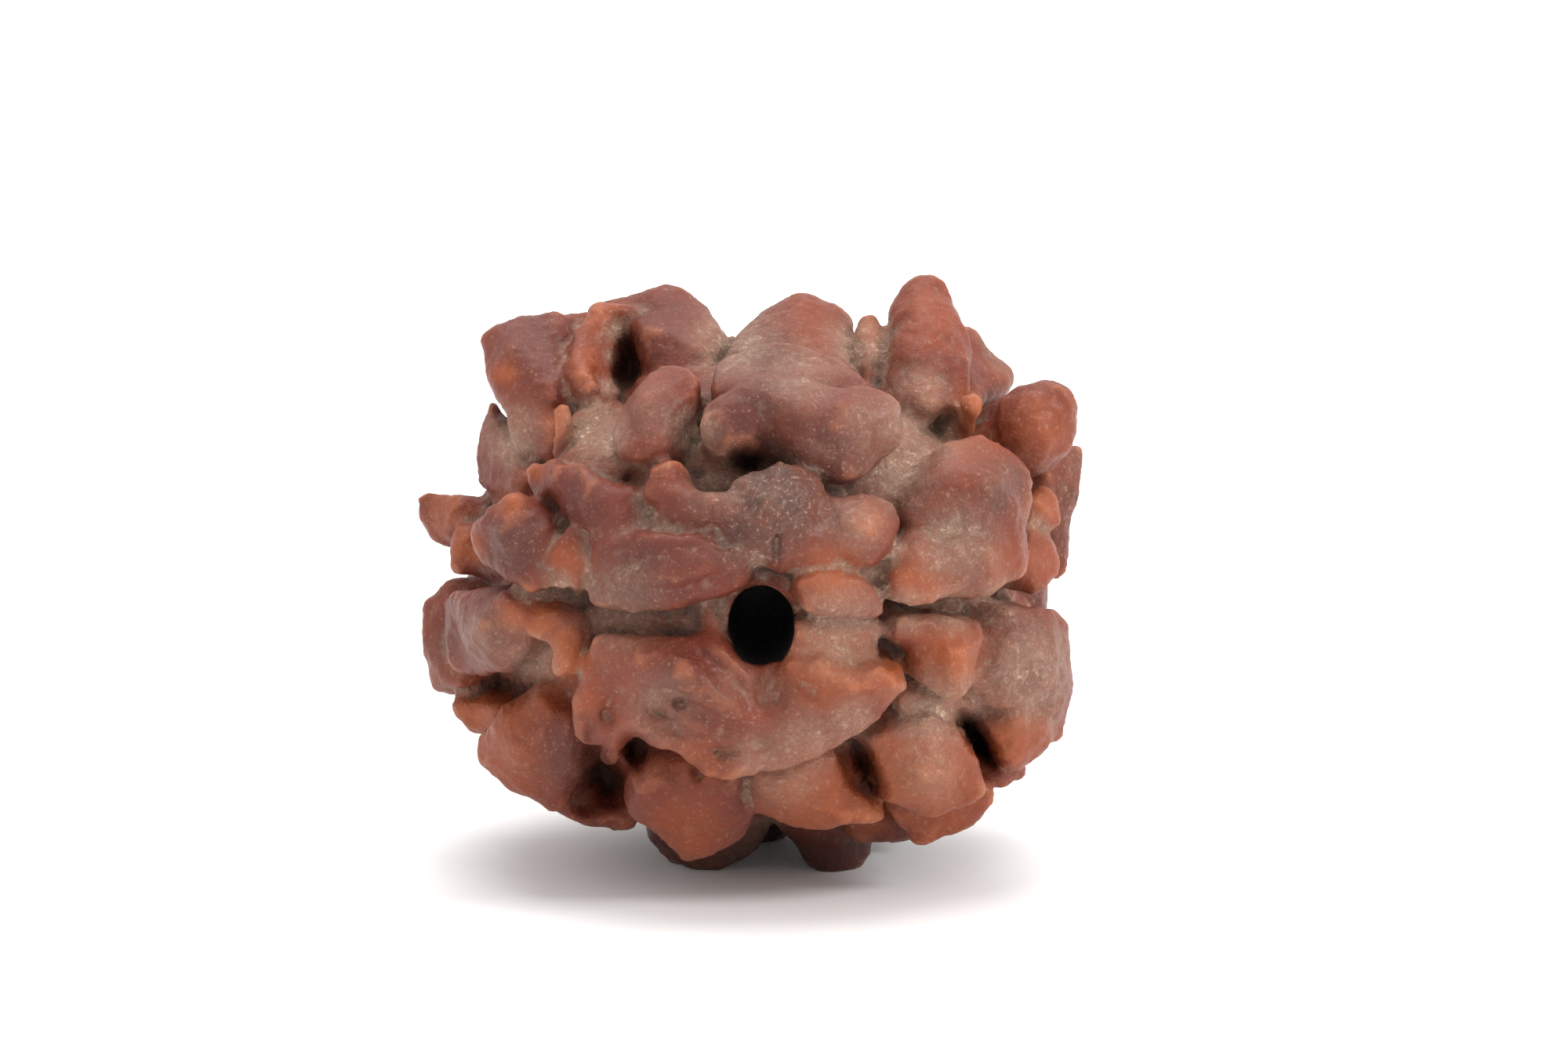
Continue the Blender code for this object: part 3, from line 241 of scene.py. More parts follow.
# %% Lobes of the upper face
# Each has a name, a form, how wide its root is for its crest,
# and balls as millimetres across and up from the bead's middle, height above the core, and radius.
# A ridge joins each ball to the next, a patch wraps all its balls at once, and a spike is a ridge
# with one root.
UPPER_LOBES = (
    # left of the mouth
    ("bean", "ridge", 0.9, ((-2.4, 5.4, 0.85, 0.82), (-2.95, 4.6, 0.8, 1.0), (-3.05, 3.85, 0.7, 0.92))),
    ("quill", "spike", 1.3, ((-5.5, 3.7, 0.4, 0.42), (-5.65, 4.45, 0.9, 0.26), (-5.75, 4.95, 1.2, 0.2))),
    ("cup_floor", "patch", 1.0, ((-5.1, 4.7, 0.2, 0.4), (-4.2, 4.9, 0.1, 0.4), (-3.7, 3.2, 0.45, 0.4),
        (-3.2, 2.8, 0.5, 0.4), (-4.3, 2.9, 0.5, 0.4), (-5.1, 3.4, 0.35, 0.4))),
    ("dusky", "patch", 1.0, ((-8.0, 1.25, 1.2, 0.36), (-7.8, 0.6, 1.3, 0.36), (-7.2, 0.1, 1.4, 0.36),
        (-6.4, -0.15, 1.3, 0.38), (-5.9, 0.9, 0.9, 0.4), (-6.5, 1.8, 1.1, 0.4), (-7.2, 2.05, 1.2, 0.38),
        (-6.9, 1.0, 1.35, 0.7))),
    ("dusky_hem", "ridge", 1.0, ((-8.0, 1.0, 1.45, 0.26), (-7.5, 0.3, 1.65, 0.26),
        (-6.6, -0.15, 1.6, 0.26), (-5.6, -0.4, 1.3, 0.3))),
    ("dusky_knob", "ridge", 1.0, ((-7.45, 2.0, 1.5, 0.3), (-6.85, 2.05, 1.5, 0.33))),
    ("leaf", "ridge", 1.0, ((-5.95, 3.2, 0.9, 0.26), (-5.45, 2.9, 1.25, 0.3), (-4.85, 2.75, 1.35, 0.34),
        (-4.3, 2.35, 1.2, 0.45))),
    ("leaf_bed", "patch", 1.0, ((-5.7, 2.5, 0.6, 0.45), (-4.6, 1.6, 0.75, 0.5), (-3.6, 1.6, 0.9, 0.5),
        (-3.4, 2.3, 0.95, 0.45), (-4.4, 2.1, 1.05, 0.5))),
    ("leaf_fin", "spike", 1.5, ((-6.1, 2.6, 0.6, 0.3), (-6.4, 3.25, 1.1, 0.2))),
    ("rust", "patch", 1.1, ((-5.3, 0.95, 0.9, 0.42), (-5.6, 0.3, 1.0, 0.5), (-5.1, -0.2, 1.15, 0.42),
        (-5.7, -0.35, 1.1, 0.36))),
    ("long_lip", "patch", 1.0, ((-4.5, -0.45, 1.0, 0.42), (-3.2, -0.55, 1.2, 0.42),
        (-1.6, -0.5, 1.3, 0.42), (-0.5, -0.1, 1.3, 0.42), (-0.3, 0.6, 1.2, 0.42), (-1.4, 0.9, 1.2, 0.42),
        (-3.0, 1.0, 1.1, 0.42), (-4.4, 0.9, 0.9, 0.42))),
    ("fold_upper", "ridge", 1.2, ((-3.0, 1.0, 1.4, 0.34), (-2.1, 0.95, 1.6, 0.34),
        (-1.3, 0.8, 1.6, 0.34))),
    ("fold_lower", "ridge", 1.2, ((-3.6, -0.2, 1.4, 0.4), (-2.0, 0.2, 1.7, 0.4), (-1.1, 0.35, 1.75, 0.42),
        (-0.2, 0.35, 1.6, 0.4))),
    # above the mouth
    ("ash", "patch", 1.0, ((-0.1, 2.55, 1.4, 0.42), (0.8, 2.9, 1.5, 0.42), (1.6, 2.6, 1.4, 0.42),
        (1.9, 1.8, 1.3, 0.42), (1.5, 0.7, 1.3, 0.42), (0.0, 0.6, 1.3, 0.42), (-0.4, 1.4, 1.3, 0.42),
        (0.6, 2.1, 1.9, 0.5))),
    ("ash_arm", "ridge", 1.2, ((-2.4, 1.7, 1.0, 0.5), (-1.4, 1.95, 1.35, 0.5), (-0.5, 2.0, 1.5, 0.5))),
    ("ash_bump", "ridge", 1.1, ((-2.4, 2.95, 1.15, 0.42), (-2.75, 2.4, 1.2, 0.42),
        (-2.0, 2.2, 1.3, 0.4))),
    ("pink", "patch", 1.0, ((2.4, 2.0, 1.3, 0.38), (3.2, 2.1, 1.4, 0.38), (3.8, 1.8, 1.3, 0.38),
        (3.9, 1.0, 1.2, 0.38), (3.2, 0.7, 1.3, 0.38), (2.2, 0.8, 1.3, 0.38), (3.1, 1.5, 1.8, 0.4))),
    ("cheek", "patch", 1.0, ((1.7, -0.15, 1.3, 0.4), (2.4, 0.0, 1.4, 0.42), (3.2, -0.2, 1.2, 0.42),
        (3.5, -0.55, 1.0, 0.4), (2.6, -0.75, 1.35, 0.42), (1.8, -0.6, 1.35, 0.4),
        (2.5, -0.35, 1.6, 0.4))),
    ("bar", "ridge", 0.8, ((-0.6, 4.25, 1.15, 0.88), (0.5, 5.0, 1.3, 0.85), (1.6, 4.6, 1.4, 1.0),
        (2.6, 4.2, 1.4, 1.1), (3.55, 4.5, 1.4, 1.0))),
    ("bar_chin", "patch", 1.0, ((1.7, 3.9, 1.4, 0.6), (2.6, 3.35, 1.4, 0.55), (3.1, 3.6, 1.4, 0.55))),
    ("bar_top", "patch", 1.0, ((-0.5, 5.9, 0.6, 0.6), (0.7, 6.2, 0.6, 0.6), (2.2, 6.0, 0.8, 0.6),
        (3.0, 5.4, 0.9, 0.65), (-0.5, 5.3, 0.8, 0.65), (1.0, 5.3, 1.2, 0.75))),
    # right of the mouth
    ("bud", "spike", 1.3, ((6.3, 4.5, 0.5, 0.3), (6.42, 4.8, 1.1, 0.26), (6.5, 5.1, 1.5, 0.4))),
    ("dome", "patch", 0.9, ((6.0, 3.4, 1.2, 0.5), (6.7, 3.6, 1.3, 0.5), (7.4, 3.3, 1.3, 0.5),
        (7.8, 2.7, 1.3, 0.5), (7.8, 1.9, 1.3, 0.5), (7.6, 1.2, 1.2, 0.5), (6.0, 1.2, 1.1, 0.5),
        (5.0, 1.5, 0.9, 0.5), (5.4, 2.5, 1.1, 0.5), (6.6, 2.6, 1.7, 0.7))),
    ("dome_hem", "patch", 1.0, ((4.2, -0.2, 1.2, 0.38), (5.2, -0.35, 1.4, 0.38), (6.3, -0.2, 1.4, 0.38),
        (7.2, 0.05, 1.3, 0.38), (7.8, 0.55, 1.2, 0.38), (7.9, 1.1, 1.0, 0.38), (6.5, 0.6, 1.5, 0.4),
        (4.4, 0.6, 1.2, 0.4))),
)

add_seen_lobes(bead_mesh, UPPER_LOBES, near_balls)

# %% [markdown]
# The lower face has two plates that meet under the mouth like the halves of a collar, a thumb right of
# them, and short fingers on the left.

# %% Lobes of the lower face
LOWER_LOBES = (
    # left of the mouth
    ("left_front", "patch", 1.0, ((-8.9, -1.0, 0.7, 0.34), (-8.85, -2.0, 0.7, 0.34),
        (-8.6, -2.6, 0.9, 0.34), (-7.3, -2.5, 1.0, 0.4), (-6.9, -1.8, 1.1, 0.4), (-7.1, -0.95, 1.2, 0.36),
        (-8.0, -0.85, 1.1, 0.36), (-7.7, -1.5, 1.4, 0.5))),
    ("left_lip", "ridge", 1.0, ((-7.3, -0.9, 1.3, 0.34), (-6.4, -1.3, 1.3, 0.36),
        (-5.6, -1.7, 1.1, 0.4))),
    ("tang", "ridge", 0.9, ((-5.55, -1.75, 1.1, 0.42), (-5.5, -2.65, 1.35, 0.42))),
    ("lap_left", "patch", 1.0, ((-4.75, -2.75, 1.1, 0.36), (-4.2, -2.25, 1.1, 0.36),
        (-3.2, -2.3, 1.2, 0.36), (-3.2, -3.8, 1.3, 0.4), (-4.0, -4.5, 1.4, 0.36), (-4.7, -4.4, 1.3, 0.36),
        (-4.85, -3.6, 1.2, 0.36))),
    ("lap", "patch", 1.0, ((-3.4, -2.25, 1.1, 0.36), (-2.1, -2.3, 1.3, 0.36), (-1.35, -2.75, 1.3, 0.36),
        (-0.6, -3.5, 1.3, 0.4), (-0.1, -4.2, 1.3, 0.4), (-0.4, -4.7, 1.3, 0.4), (-1.2, -4.8, 1.4, 0.45),
        (-2.6, -4.3, 1.3, 0.45), (-3.3, -3.8, 1.2, 0.4))),
    ("lap_ridge", "ridge", 1.0, ((-3.9, -2.6, 1.3, 0.42), (-2.9, -2.75, 1.65, 0.46),
        (-1.9, -2.8, 1.75, 0.46), (-1.0, -3.3, 1.6, 0.42), (-0.5, -4.0, 1.5, 0.4))),
    ("lap_lip", "ridge", 1.0, ((-4.75, -3.3, 1.2, 0.34), (-4.8, -4.2, 1.35, 0.36),
        (-4.1, -4.65, 1.55, 0.36), (-3.5, -4.25, 1.5, 0.34), (-2.7, -4.6, 1.65, 0.38),
        (-2.0, -4.75, 1.75, 0.38), (-1.3, -5.4, 1.6, 0.38), (-0.5, -5.35, 1.6, 0.4),
        (0.2, -5.1, 1.5, 0.4))),
    ("lap_nub", "ridge", 1.0, ((-2.1, -3.75, 1.45, 0.4), (-1.4, -4.2, 1.6, 0.42))),
    ("lap_crumb", "spike", 1.4, ((-4.1, -4.9, 0.8, 0.3), (-4.15, -5.25, 1.2, 0.24))),
    # under and right of the mouth
    ("wedge", "patch", 1.0, ((1.5, -2.85, 1.2, 0.36), (2.8, -3.15, 1.3, 0.36), (4.2, -3.2, 1.3, 0.3),
        (3.4, -4.2, 1.3, 0.4), (2.4, -4.7, 1.5, 0.4), (1.2, -5.1, 1.5, 0.42), (0.3, -5.2, 1.4, 0.36),
        (0.4, -3.9, 1.3, 0.36), (1.6, -3.9, 1.6, 0.5))),
    ("wedge_rim", "ridge", 1.0, ((1.25, -2.75, 1.35, 0.34), (1.9, -2.85, 1.65, 0.34),
        (2.9, -3.15, 1.7, 0.34), (3.7, -3.05, 1.6, 0.32), (4.4, -3.2, 1.45, 0.3))),
    ("filled", "patch", 1.0, ((1.9, -1.4, 0.55, 0.5), (3.3, -1.5, 0.35, 0.5), (3.2, -2.2, 0.45, 0.5),
        (1.6, -2.2, 0.65, 0.5))),
    ("groove_floor", "patch", 1.0, ((-0.9, -1.1, -0.05, 0.4), (-2.6, -1.2, -0.1, 0.4),
        (-4.4, -1.3, -0.15, 0.4), (-5.4, -1.0, -0.2, 0.4), (-4.4, -2.0, -0.15, 0.4),
        (-2.6, -2.0, -0.05, 0.4), (-1.0, -1.9, 0.0, 0.4))),
    ("collar", "ridge", 1.0, ((-1.2, -1.2, 0.2, 0.4), (-1.3, -1.8, 0.3, 0.4), (-0.9, -2.4, 0.8, 0.4),
        (0.1, -3.2, 0.9, 0.4), (1.1, -2.8, 0.9, 0.4), (1.6, -1.6, 0.8, 0.4))),
    ("thumb_lip", "ridge", 1.0, ((4.3, -1.55, 0.9, 0.34), (5.5, -1.7, 1.1, 0.36),
        (6.6, -1.65, 1.0, 0.36))),
    ("slope", "patch", 1.0, ((4.6, -3.7, 0.35, 0.4), (5.6, -3.7, 0.4, 0.4), (6.6, -3.6, 0.5, 0.4),
        (6.9, -4.1, 0.4, 0.4), (5.5, -4.3, 0.5, 0.4), (4.5, -4.4, 0.4, 0.4))),
    ("thumb", "patch", 0.9, ((5.1, -2.0, 1.0, 0.4), (6.4, -1.95, 1.1, 0.4), (6.4, -2.9, 1.3, 0.4),
        (5.95, -3.15, 1.4, 0.42), (5.35, -2.9, 1.1, 0.4), (6.0, -2.5, 1.6, 0.45))),
)

add_seen_lobes(bead_mesh, LOWER_LOBES, near_balls)

# %% [markdown]
# The lobes of the rim make the outline. They are written as across, up and towards the eye, because at
# the edge of the bead a height above the core says little about where a lobe is seen.

# %% Lobes of the rim
RIM_LOBES = (
    # along the top, left to right
    ("left_crest", "patch", 0.8, ((-7.75, 7.05, 1.4, 0.4), (-7.2, 7.3, 1.3, 0.4), (-6.6, 7.55, 1.2, 0.42),
        (-5.9, 7.5, 1.6, 0.42), (-7.5, 5.9, 2.4, 0.4), (-6.7, 5.0, 3.2, 0.4), (-6.0, 5.3, 3.6, 0.42),
        (-6.9, 6.6, 2.6, 0.5))),
    ("left_web", "patch", 0.8, ((-5.9, 7.4, 1.0, 0.4), (-4.9, 7.5, 1.4, 0.4), (-5.0, 5.4, 3.4, 0.4),
        (-5.9, 5.0, 3.4, 0.4))),
    ("left_hem", "ridge", 0.8, ((-3.6, 7.95, 1.6, 0.32), (-4.4, 7.8, 2.0, 0.34), (-5.0, 7.2, 2.7, 0.34),
        (-5.15, 6.2, 3.6, 0.34), (-5.0, 5.4, 4.2, 0.3))),
    ("crown_left", "patch", 0.9, ((-4.4, 7.9, 0.5, 0.45), (-3.4, 8.1, 0.4, 0.48), (-2.5, 8.1, 0.8, 0.6),
        (-1.8, 7.7, 1.2, 0.55), (-1.0, 7.0, 2.0, 0.45), (-2.9, 6.9, 2.8, 0.5), (-1.6, 6.6, 2.9, 0.5))),
    ("crown_middle", "patch", 1.0, ((0.3, 7.2, 1.4, 0.5), (0.9, 7.6, 1.2, 0.6), (1.7, 7.8, 1.1, 0.7),
        (2.3, 7.6, 1.3, 0.65), (2.5, 7.0, 2.0, 0.6), (0.9, 6.6, 3.1, 0.6), (-0.3, 6.3, 3.5, 0.5),
        (1.0, 6.0, 4.4, 0.55), (2.5, 6.1, 3.6, 0.5))),
    ("saddle", "ridge", 1.0, ((-0.4, 6.45, 2.0, 0.45), (-0.4, 6.5, 0.0, 0.45), (-0.4, 6.35, -2.0, 0.45))),
    ("tooth", "spike", 1.4, ((3.6, 6.2, 3.0, 0.75), (3.6, 6.9, 2.6, 0.58), (3.65, 7.5, 2.4, 0.34))),
    ("finger", "spike", 1.0, ((5.15, 5.9, 3.3, 1.0), (5.3, 6.7, 2.7, 1.12), (5.35, 7.6, 2.0, 1.05),
        (5.3, 8.45, 1.5, 0.75))),
    ("finger_base", "patch", 1.0, ((4.2, 5.6, 3.6, 0.4), (6.1, 5.5, 3.5, 0.4), (5.2, 5.1, 4.3, 0.4),
        (4.7, 6.6, 3.3, 0.6), (5.9, 6.4, 3.3, 0.5))),
    ("finger_fold", "ridge", 1.0, ((6.0, 8.0, 2.0, 0.34), (6.1, 7.2, 2.6, 0.4), (6.0, 6.2, 3.2, 0.45))),
    ("shawl", "patch", 1.0, ((6.3, 7.2, 0.2, 0.42), (7.45, 5.95, 0.0, 0.42), (6.6, 5.8, 0.8, 0.5),
        (6.4, 5.2, 2.4, 0.5))),
    # down the right side
    ("knob", "spike", 0.9, ((8.0, 3.9, 2.4, 1.0), (8.45, 4.4, 2.7, 1.18), (8.75, 4.75, 2.5, 1.1))),
    ("back_wing", "patch", 1.0, ((9.65, 3.6, 0.2, 0.34), (9.5, 2.4, 0.1, 0.36), (9.3, 0.9, 0.1, 0.36),
        (9.0, 0.3, 0.4, 0.36), (8.8, 3.0, 1.0, 0.4))),
    ("amber_cheek", "patch", 0.9, ((8.8, 2.2, 2.7, 0.45), (8.95, 1.75, 2.6, 0.42),
        (8.5, 1.9, 3.2, 0.42))),
    ("side_edge", "patch", 1.0, ((8.85, 1.2, 2.6, 0.36), (8.8, 0.3, 2.6, 0.36), (8.5, -0.1, 2.9, 0.36),
        (8.2, 0.4, 3.6, 0.4), (8.4, 1.3, 3.4, 0.4))),
    ("right_mass", "patch", 0.95, ((9.1, -1.9, 2.3, 0.45), (9.15, -3.4, 2.2, 0.45), (8.9, -4.5, 2.3, 0.5),
        (8.2, -4.0, 3.8, 0.5), (7.35, -3.3, 4.9, 0.5), (7.5, -2.2, 5.0, 0.5), (8.6, -1.7, 3.6, 0.42),
        (8.4, -3.0, 4.2, 0.6))),
    ("thumb_root", "patch", 0.95, ((6.4, -1.9, 5.2, 0.4), (6.6, -2.9, 5.1, 0.42), (7.5, -3.2, 4.8, 0.45),
        (7.6, -2.0, 4.8, 0.45))),
    ("right_heel", "patch", 0.95, ((8.0, -4.1, 4.0, 0.6), (8.5, -4.8, 2.8, 0.6), (7.9, -5.2, 3.2, 0.55),
        (7.75, -4.7, 4.0, 0.5))),
    ("right_brow", "ridge", 1.0, ((7.6, -1.3, 4.4, 0.34), (8.5, -1.3, 3.4, 0.36), (9.1, -1.5, 2.3, 0.4))),
    ("right_foot", "patch", 1.0, ((8.0, -5.7, 2.0, 0.4), (7.3, -6.0, 2.4, 0.4), (7.6, -5.2, 2.6, 0.4))),
    # down the left side
    ("left_blade", "patch", 1.0, ((-7.72, 4.95, 1.8, 0.22), (-7.85, 3.0, 2.2, 0.3),
        (-7.2, 3.7, 3.2, 0.36), (-6.9, 2.9, 4.0, 0.5))),
    ("blade_web", "patch", 1.0, ((-6.9, 4.7, 3.1, 0.4), (-6.2, 4.9, 3.5, 0.45), (-6.1, 3.8, 4.0, 0.45),
        (-6.9, 3.7, 3.4, 0.4))),
    ("left_spike", "patch", 0.9, ((-9.85, 2.35, 0.8, 0.24), (-9.55, 1.35, 0.8, 0.3),
        (-8.6, 2.0, 1.6, 0.55))),
    ("left_nub", "ridge", 1.0, ((-8.6, 1.25, 2.4, 0.38), (-8.5, 0.5, 2.4, 0.36))),
    ("left_wing", "patch", 1.0, ((-9.0, -0.5, 0.8, 0.4), (-9.5, -1.1, 0.5, 0.42), (-9.5, -2.3, 0.5, 0.42),
        (-9.2, -3.2, 0.5, 0.42), (-8.5, -2.9, 1.6, 0.4))),
    ("left_keel", "patch", 1.0, ((-8.6, -3.9, 1.2, 0.34), (-8.2, -4.35, 1.4, 0.34),
        (-7.4, -4.0, 2.4, 0.4))),
    # along the bottom, left to right
    ("low_left", "patch", 0.9, ((-7.6, -5.0, 3.2, 0.48), (-7.65, -5.5, 3.0, 0.45),
        (-7.0, -6.1, 3.0, 0.48), (-6.0, -6.5, 3.2, 0.46), (-7.1, -4.4, 4.0, 0.36),
        (-6.2, -3.8, 4.9, 0.38), (-5.6, -4.3, 5.2, 0.4), (-5.7, -5.8, 4.4, 0.45),
        (-6.6, -5.2, 4.7, 0.5))),
    ("low_left_back", "patch", 1.0, ((-5.0, -6.75, 2.4, 0.55), (-4.0, -6.9, 2.0, 0.6),
        (-6.4, -6.0, 1.6, 0.5))),
    ("chin_left", "patch", 0.9, ((-2.7, -6.6, 4.4, 0.9), (-1.7, -7.25, 4.0, 1.05),
        (-0.9, -7.0, 4.3, 0.85), (-2.8, -5.9, 5.3, 0.7), (-0.7, -6.2, 5.5, 0.7))),
    ("chin", "patch", 1.0, ((0.4, -6.6, 4.9, 0.5), (1.7, -6.9, 4.9, 0.5), (2.6, -6.9, 4.9, 0.46),
        (2.4, -6.0, 5.5, 0.4), (2.2, -5.5, 5.9, 0.4), (0.6, -6.0, 5.7, 0.5))),
    ("chin_horn", "ridge", 1.0, ((2.0, -6.3, 5.4, 0.55), (2.9, -6.8, 5.2, 0.5), (3.75, -7.05, 4.8, 0.3))),
    ("low_right", "patch", 0.9, ((3.65, -5.0, 6.1, 0.34), (4.3, -6.4, 5.3, 0.42), (5.4, -6.65, 4.8, 0.42),
        (6.6, -6.1, 4.3, 0.42), (6.5, -5.8, 4.5, 0.4), (6.0, -4.9, 5.3, 0.38), (5.0, -4.55, 6.0, 0.38),
        (5.1, -5.7, 6.0, 0.45))),
    ("low_right_back", "patch", 1.0, ((5.1, -7.5, 3.0, 0.5), (6.3, -7.0, 2.8, 0.5),
        (6.8, -6.4, 3.0, 0.42), (4.6, -6.8, 3.6, 0.5))),
    ("low_middle_back", "patch", 1.0, ((3.3, -7.4, 1.6, 0.6), (4.5, -7.3, 1.6, 0.6))),
)

add_seen_lobes(bead_mesh, RIM_LOBES, rim_balls)

# %% [markdown]
# A stone that is picked up and put down comes to rest on three of its lobes. Their ends are trimmed by
# a hair where they touch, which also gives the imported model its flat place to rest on.

# %% Lobes that the bead rests on
# Millimetres across, away and below the middle, and the radius
FEET = ((2.6, -0.85, 9.12, 1.0), (-1.5, -0.7, 9.0, 1.25), (0.3, 3.2, 9.05, 1.3))
FOOT_ROOT = 1.6


def add_feet(mesh):
    """Adds the lobes that the bead rests on, and keeps where they are."""
    for across, away, below, radius in FEET:
        centre = Vector((across, away, radius - below)) * MM
        growths[f"foot {across}"] = add_lobe(mesh, "patch", FOOT_ROOT, [(centre, radius * MM)])
        taken.append(centre)


add_feet(bead_mesh)
print("feet:", len(FEET))

# %% [markdown]
# The far end and the underside are out of sight, but the bead is judged from every side. Nature lays
# lobes there much as in front, so a rule does the same: a spiral of places from end to end, each free
# place given one of five kinds of lobe, with seeded draws. No such lobe may show past the seen outline.

# %% Rules for the hidden lobes
SEED = 27
SPIRAL_PLACES = 170
SEEN_FROM = 0.6 * MM
PLACE_JITTER = 0.5 * MM
LOBE_CLEARANCE = 2.0 * MM
GROOVE_CLEARANCE = 1.25 * MM
MOUTH_CLEARANCE = 2.3 * MM
LOBE_KINDS = ("plate", "plate", "bean", "knob", "blade", "finger")
LOWEST = 8.6 * MM
OUTLINE_MARGIN = 0.2 * MM
OUTLINE_SPREAD = 0.9 * MM

SEEN_OUTLINE = (
    (-10.0, 2.4), (-9.0, 2.6), (-8.2, 2.6), (-8.1, 4.8), (-7.75, 5.2), (-7.2, 4.8), (-7.8, 6.0),
    (-8.15, 7.0), (-7.4, 7.5), (-6.5, 8.0), (-5.3, 7.9), (-4.6, 8.4), (-3.4, 8.5), (-2.4, 8.7),
    (-1.5, 8.2), (-0.8, 7.4), (-0.4, 7.05), (0.0, 7.4), (0.5, 8.0), (1.2, 8.4), (2.0, 8.5),
    (2.6, 8.2), (3.1, 7.4), (3.65, 7.8), (4.0, 7.3), (4.4, 8.4), (5.2, 9.2), (6.1, 8.7),
    (6.45, 7.9), (6.85, 6.8), (7.6, 6.3), (7.95, 5.8), (8.7, 5.9), (9.4, 5.4), (9.8, 4.6),
    (10.0, 3.8), (9.85, 2.3), (9.6, 0.2), (9.15, -0.3), (9.2, -1.0), (9.6, -1.7), (9.65, -3.0),
    (9.4, -4.6), (8.5, -5.5), (8.1, -6.1), (7.2, -6.5), (6.3, -7.5), (5.0, -8.0), (3.6, -8.3),
    (2.3, -8.8), (0.8, -8.3), (-1.9, -8.2), (-3.0, -7.7), (-4.6, -7.4), (-6.3, -7.0), (-7.6, -6.3),
    (-8.1, -5.4), (-8.1, -4.7), (-8.8, -4.0), (-9.5, -3.5), (-9.9, -2.3), (-9.9, -1.2), (-9.2, -0.2),
    (-8.6, 0.2), (-9.0, 0.9), (-9.7, 1.1),
)


def on_core(point, height):
    """The point straight above or below another one that stands `height` above the core."""
    direction = point.normalized()
    return direction * (core_radius(direction) + height)


def outline_reach(turn, spread):
    """The least distance from the middle to the seen outline within `spread` radians of `turn`."""
    corners = sorted((math.atan2(up, across), math.hypot(across, up) * MM) for across, up in SEEN_OUTLINE)
    turns = np.linspace(turn - spread, turn + spread, 9)
    known, reach = zip(*corners)
    return np.interp(turns, known, reach, period=2 * math.pi).min()


def behind_outline(centre, radius):
    """A ball's centre, drawn in towards the line of sight until its lobe hides behind the outline."""
    across = centre.dot(RIGHT)
    up = centre.dot(UP)
    distance = max(math.hypot(across, up), MM)
    reach = outline_reach(math.atan2(up, across), OUTLINE_SPREAD / distance) - radius - OUTLINE_MARGIN
    return centre - (across * RIGHT + up * UP) * max(0, 1 - reach / distance)


def kind_of_lobe(kind, draw):
    """One lobe as (form, root, balls), with balls as millimetres along, aside, height and radius."""
    if kind == "plate":
        length = draw.uniform(1.2, 1.9)
        width = draw.uniform(0.8, 1.25)
        height = draw.uniform(0.9, 1.5)
        balls = []
        for step in range(6):
            turn = math.pi * (step + draw.uniform(-0.25, 0.25)) / 3
            lift = height + draw.uniform(-0.15, 0.15)
            balls.append((length * math.cos(turn), width * math.sin(turn), lift, 0.4))
        return "patch", 0.95, balls + [(0, 0, height + 0.4, 0.55)]
    if kind == "bean":
        half = draw.uniform(0.6, 1.1)
        height = draw.uniform(0.6, 1.0)
        return "ridge", 0.9, [(-half, 0, height, 0.85), (half, draw.uniform(-0.5, 0.5), height, 1.0)]
    if kind == "knob":
        return "patch", 0.8, [(0, 0, draw.uniform(0.5, 0.9), draw.uniform(1.0, 1.35))]
    if kind == "blade":
        height = draw.uniform(1.2, 1.7)
        bow = draw.uniform(-0.6, 0.6)
        return "ridge", 1.4, [(-1.4, 0, height, 0.34), (0, bow, height + 0.1, 0.38), (1.4, 0, height, 0.34)]
    lean = draw.uniform(-0.5, 0.5)
    return "spike", 1.0, [(0, 0, 0.3, 1.0), (0, lean / 2, 1.2, 0.8), (0, lean, 1.85, 0.48)]


def clear_of_openings(point):
    """A point moved off the groove, or None where it would cover a mouth of the bore."""
    if math.hypot(point.x - BORE_ACROSS, point.z) < MOUTH_CLEARANCE:
        return None
    side = 1 if point.z > 0 else -1
    return Vector((point.x, point.y, side * max(abs(point.z), GROOVE_CLEARANCE)))


def add_hidden_lobes(mesh, growths, taken, draw):
    """Adds lobes wherever the listed ones leave the core bare, on a spiral from end to end."""
    for step in range(SPIRAL_PLACES):
        turn = step * math.pi * (3 - math.sqrt(5))
        y = 1 - 2 * (step + 0.5) / SPIRAL_PLACES
        ring = math.sqrt(1 - y * y)
        place = on_core(Vector((ring * math.cos(turn), y, ring * math.sin(turn))), 0)
        place += Vector([draw.uniform(-1, 1) for _ in range(3)]) * PLACE_JITTER
        place = clear_of_openings(place)
        if place is None or place.dot(TOWARD) > SEEN_FROM:
            continue
        place = on_core(place, 1 * MM)
        if any((place - other).length < LOBE_CLEARANCE for other in taken):
            continue
        taken.append(place)
        form, root, numbers = kind_of_lobe(draw.choice(LOBE_KINDS), draw)
        out = place.normalized()
        aside = out.cross(Vector((0, 1, 0))).normalized()
        aside.rotate(Quaternion(out, draw.uniform(-0.9, 0.9)))
        along = aside.cross(out)
        balls = []
        for forth, sideways, height, radius in numbers:
            centre = on_core(place + along * forth * MM + aside * sideways * MM, height * MM)
            centre.z = max(centre.z, radius * MM - LOWEST)
            balls.append((behind_outline(centre, radius * MM), radius * MM))
        growths[f"hidden {step}"] = add_lobe(mesh, form, root, balls)


add_hidden_lobes(bead_mesh, growths, taken, random.Random(SEED))
print("places with a lobe:", len(taken))

# %% [markdown]
# So far the bead is a heap of overlapping shells. The Remesh modifier in Voxel mode lays one skin
# round the whole heap and forgets what is inside it. Its voxel size is the smallest thing that
# survives, so it is set to a tenth of a millimetre or so, finer than the working solid's.

# %% One skin round everything
FUSE_GRAIN = 0.125 * MM


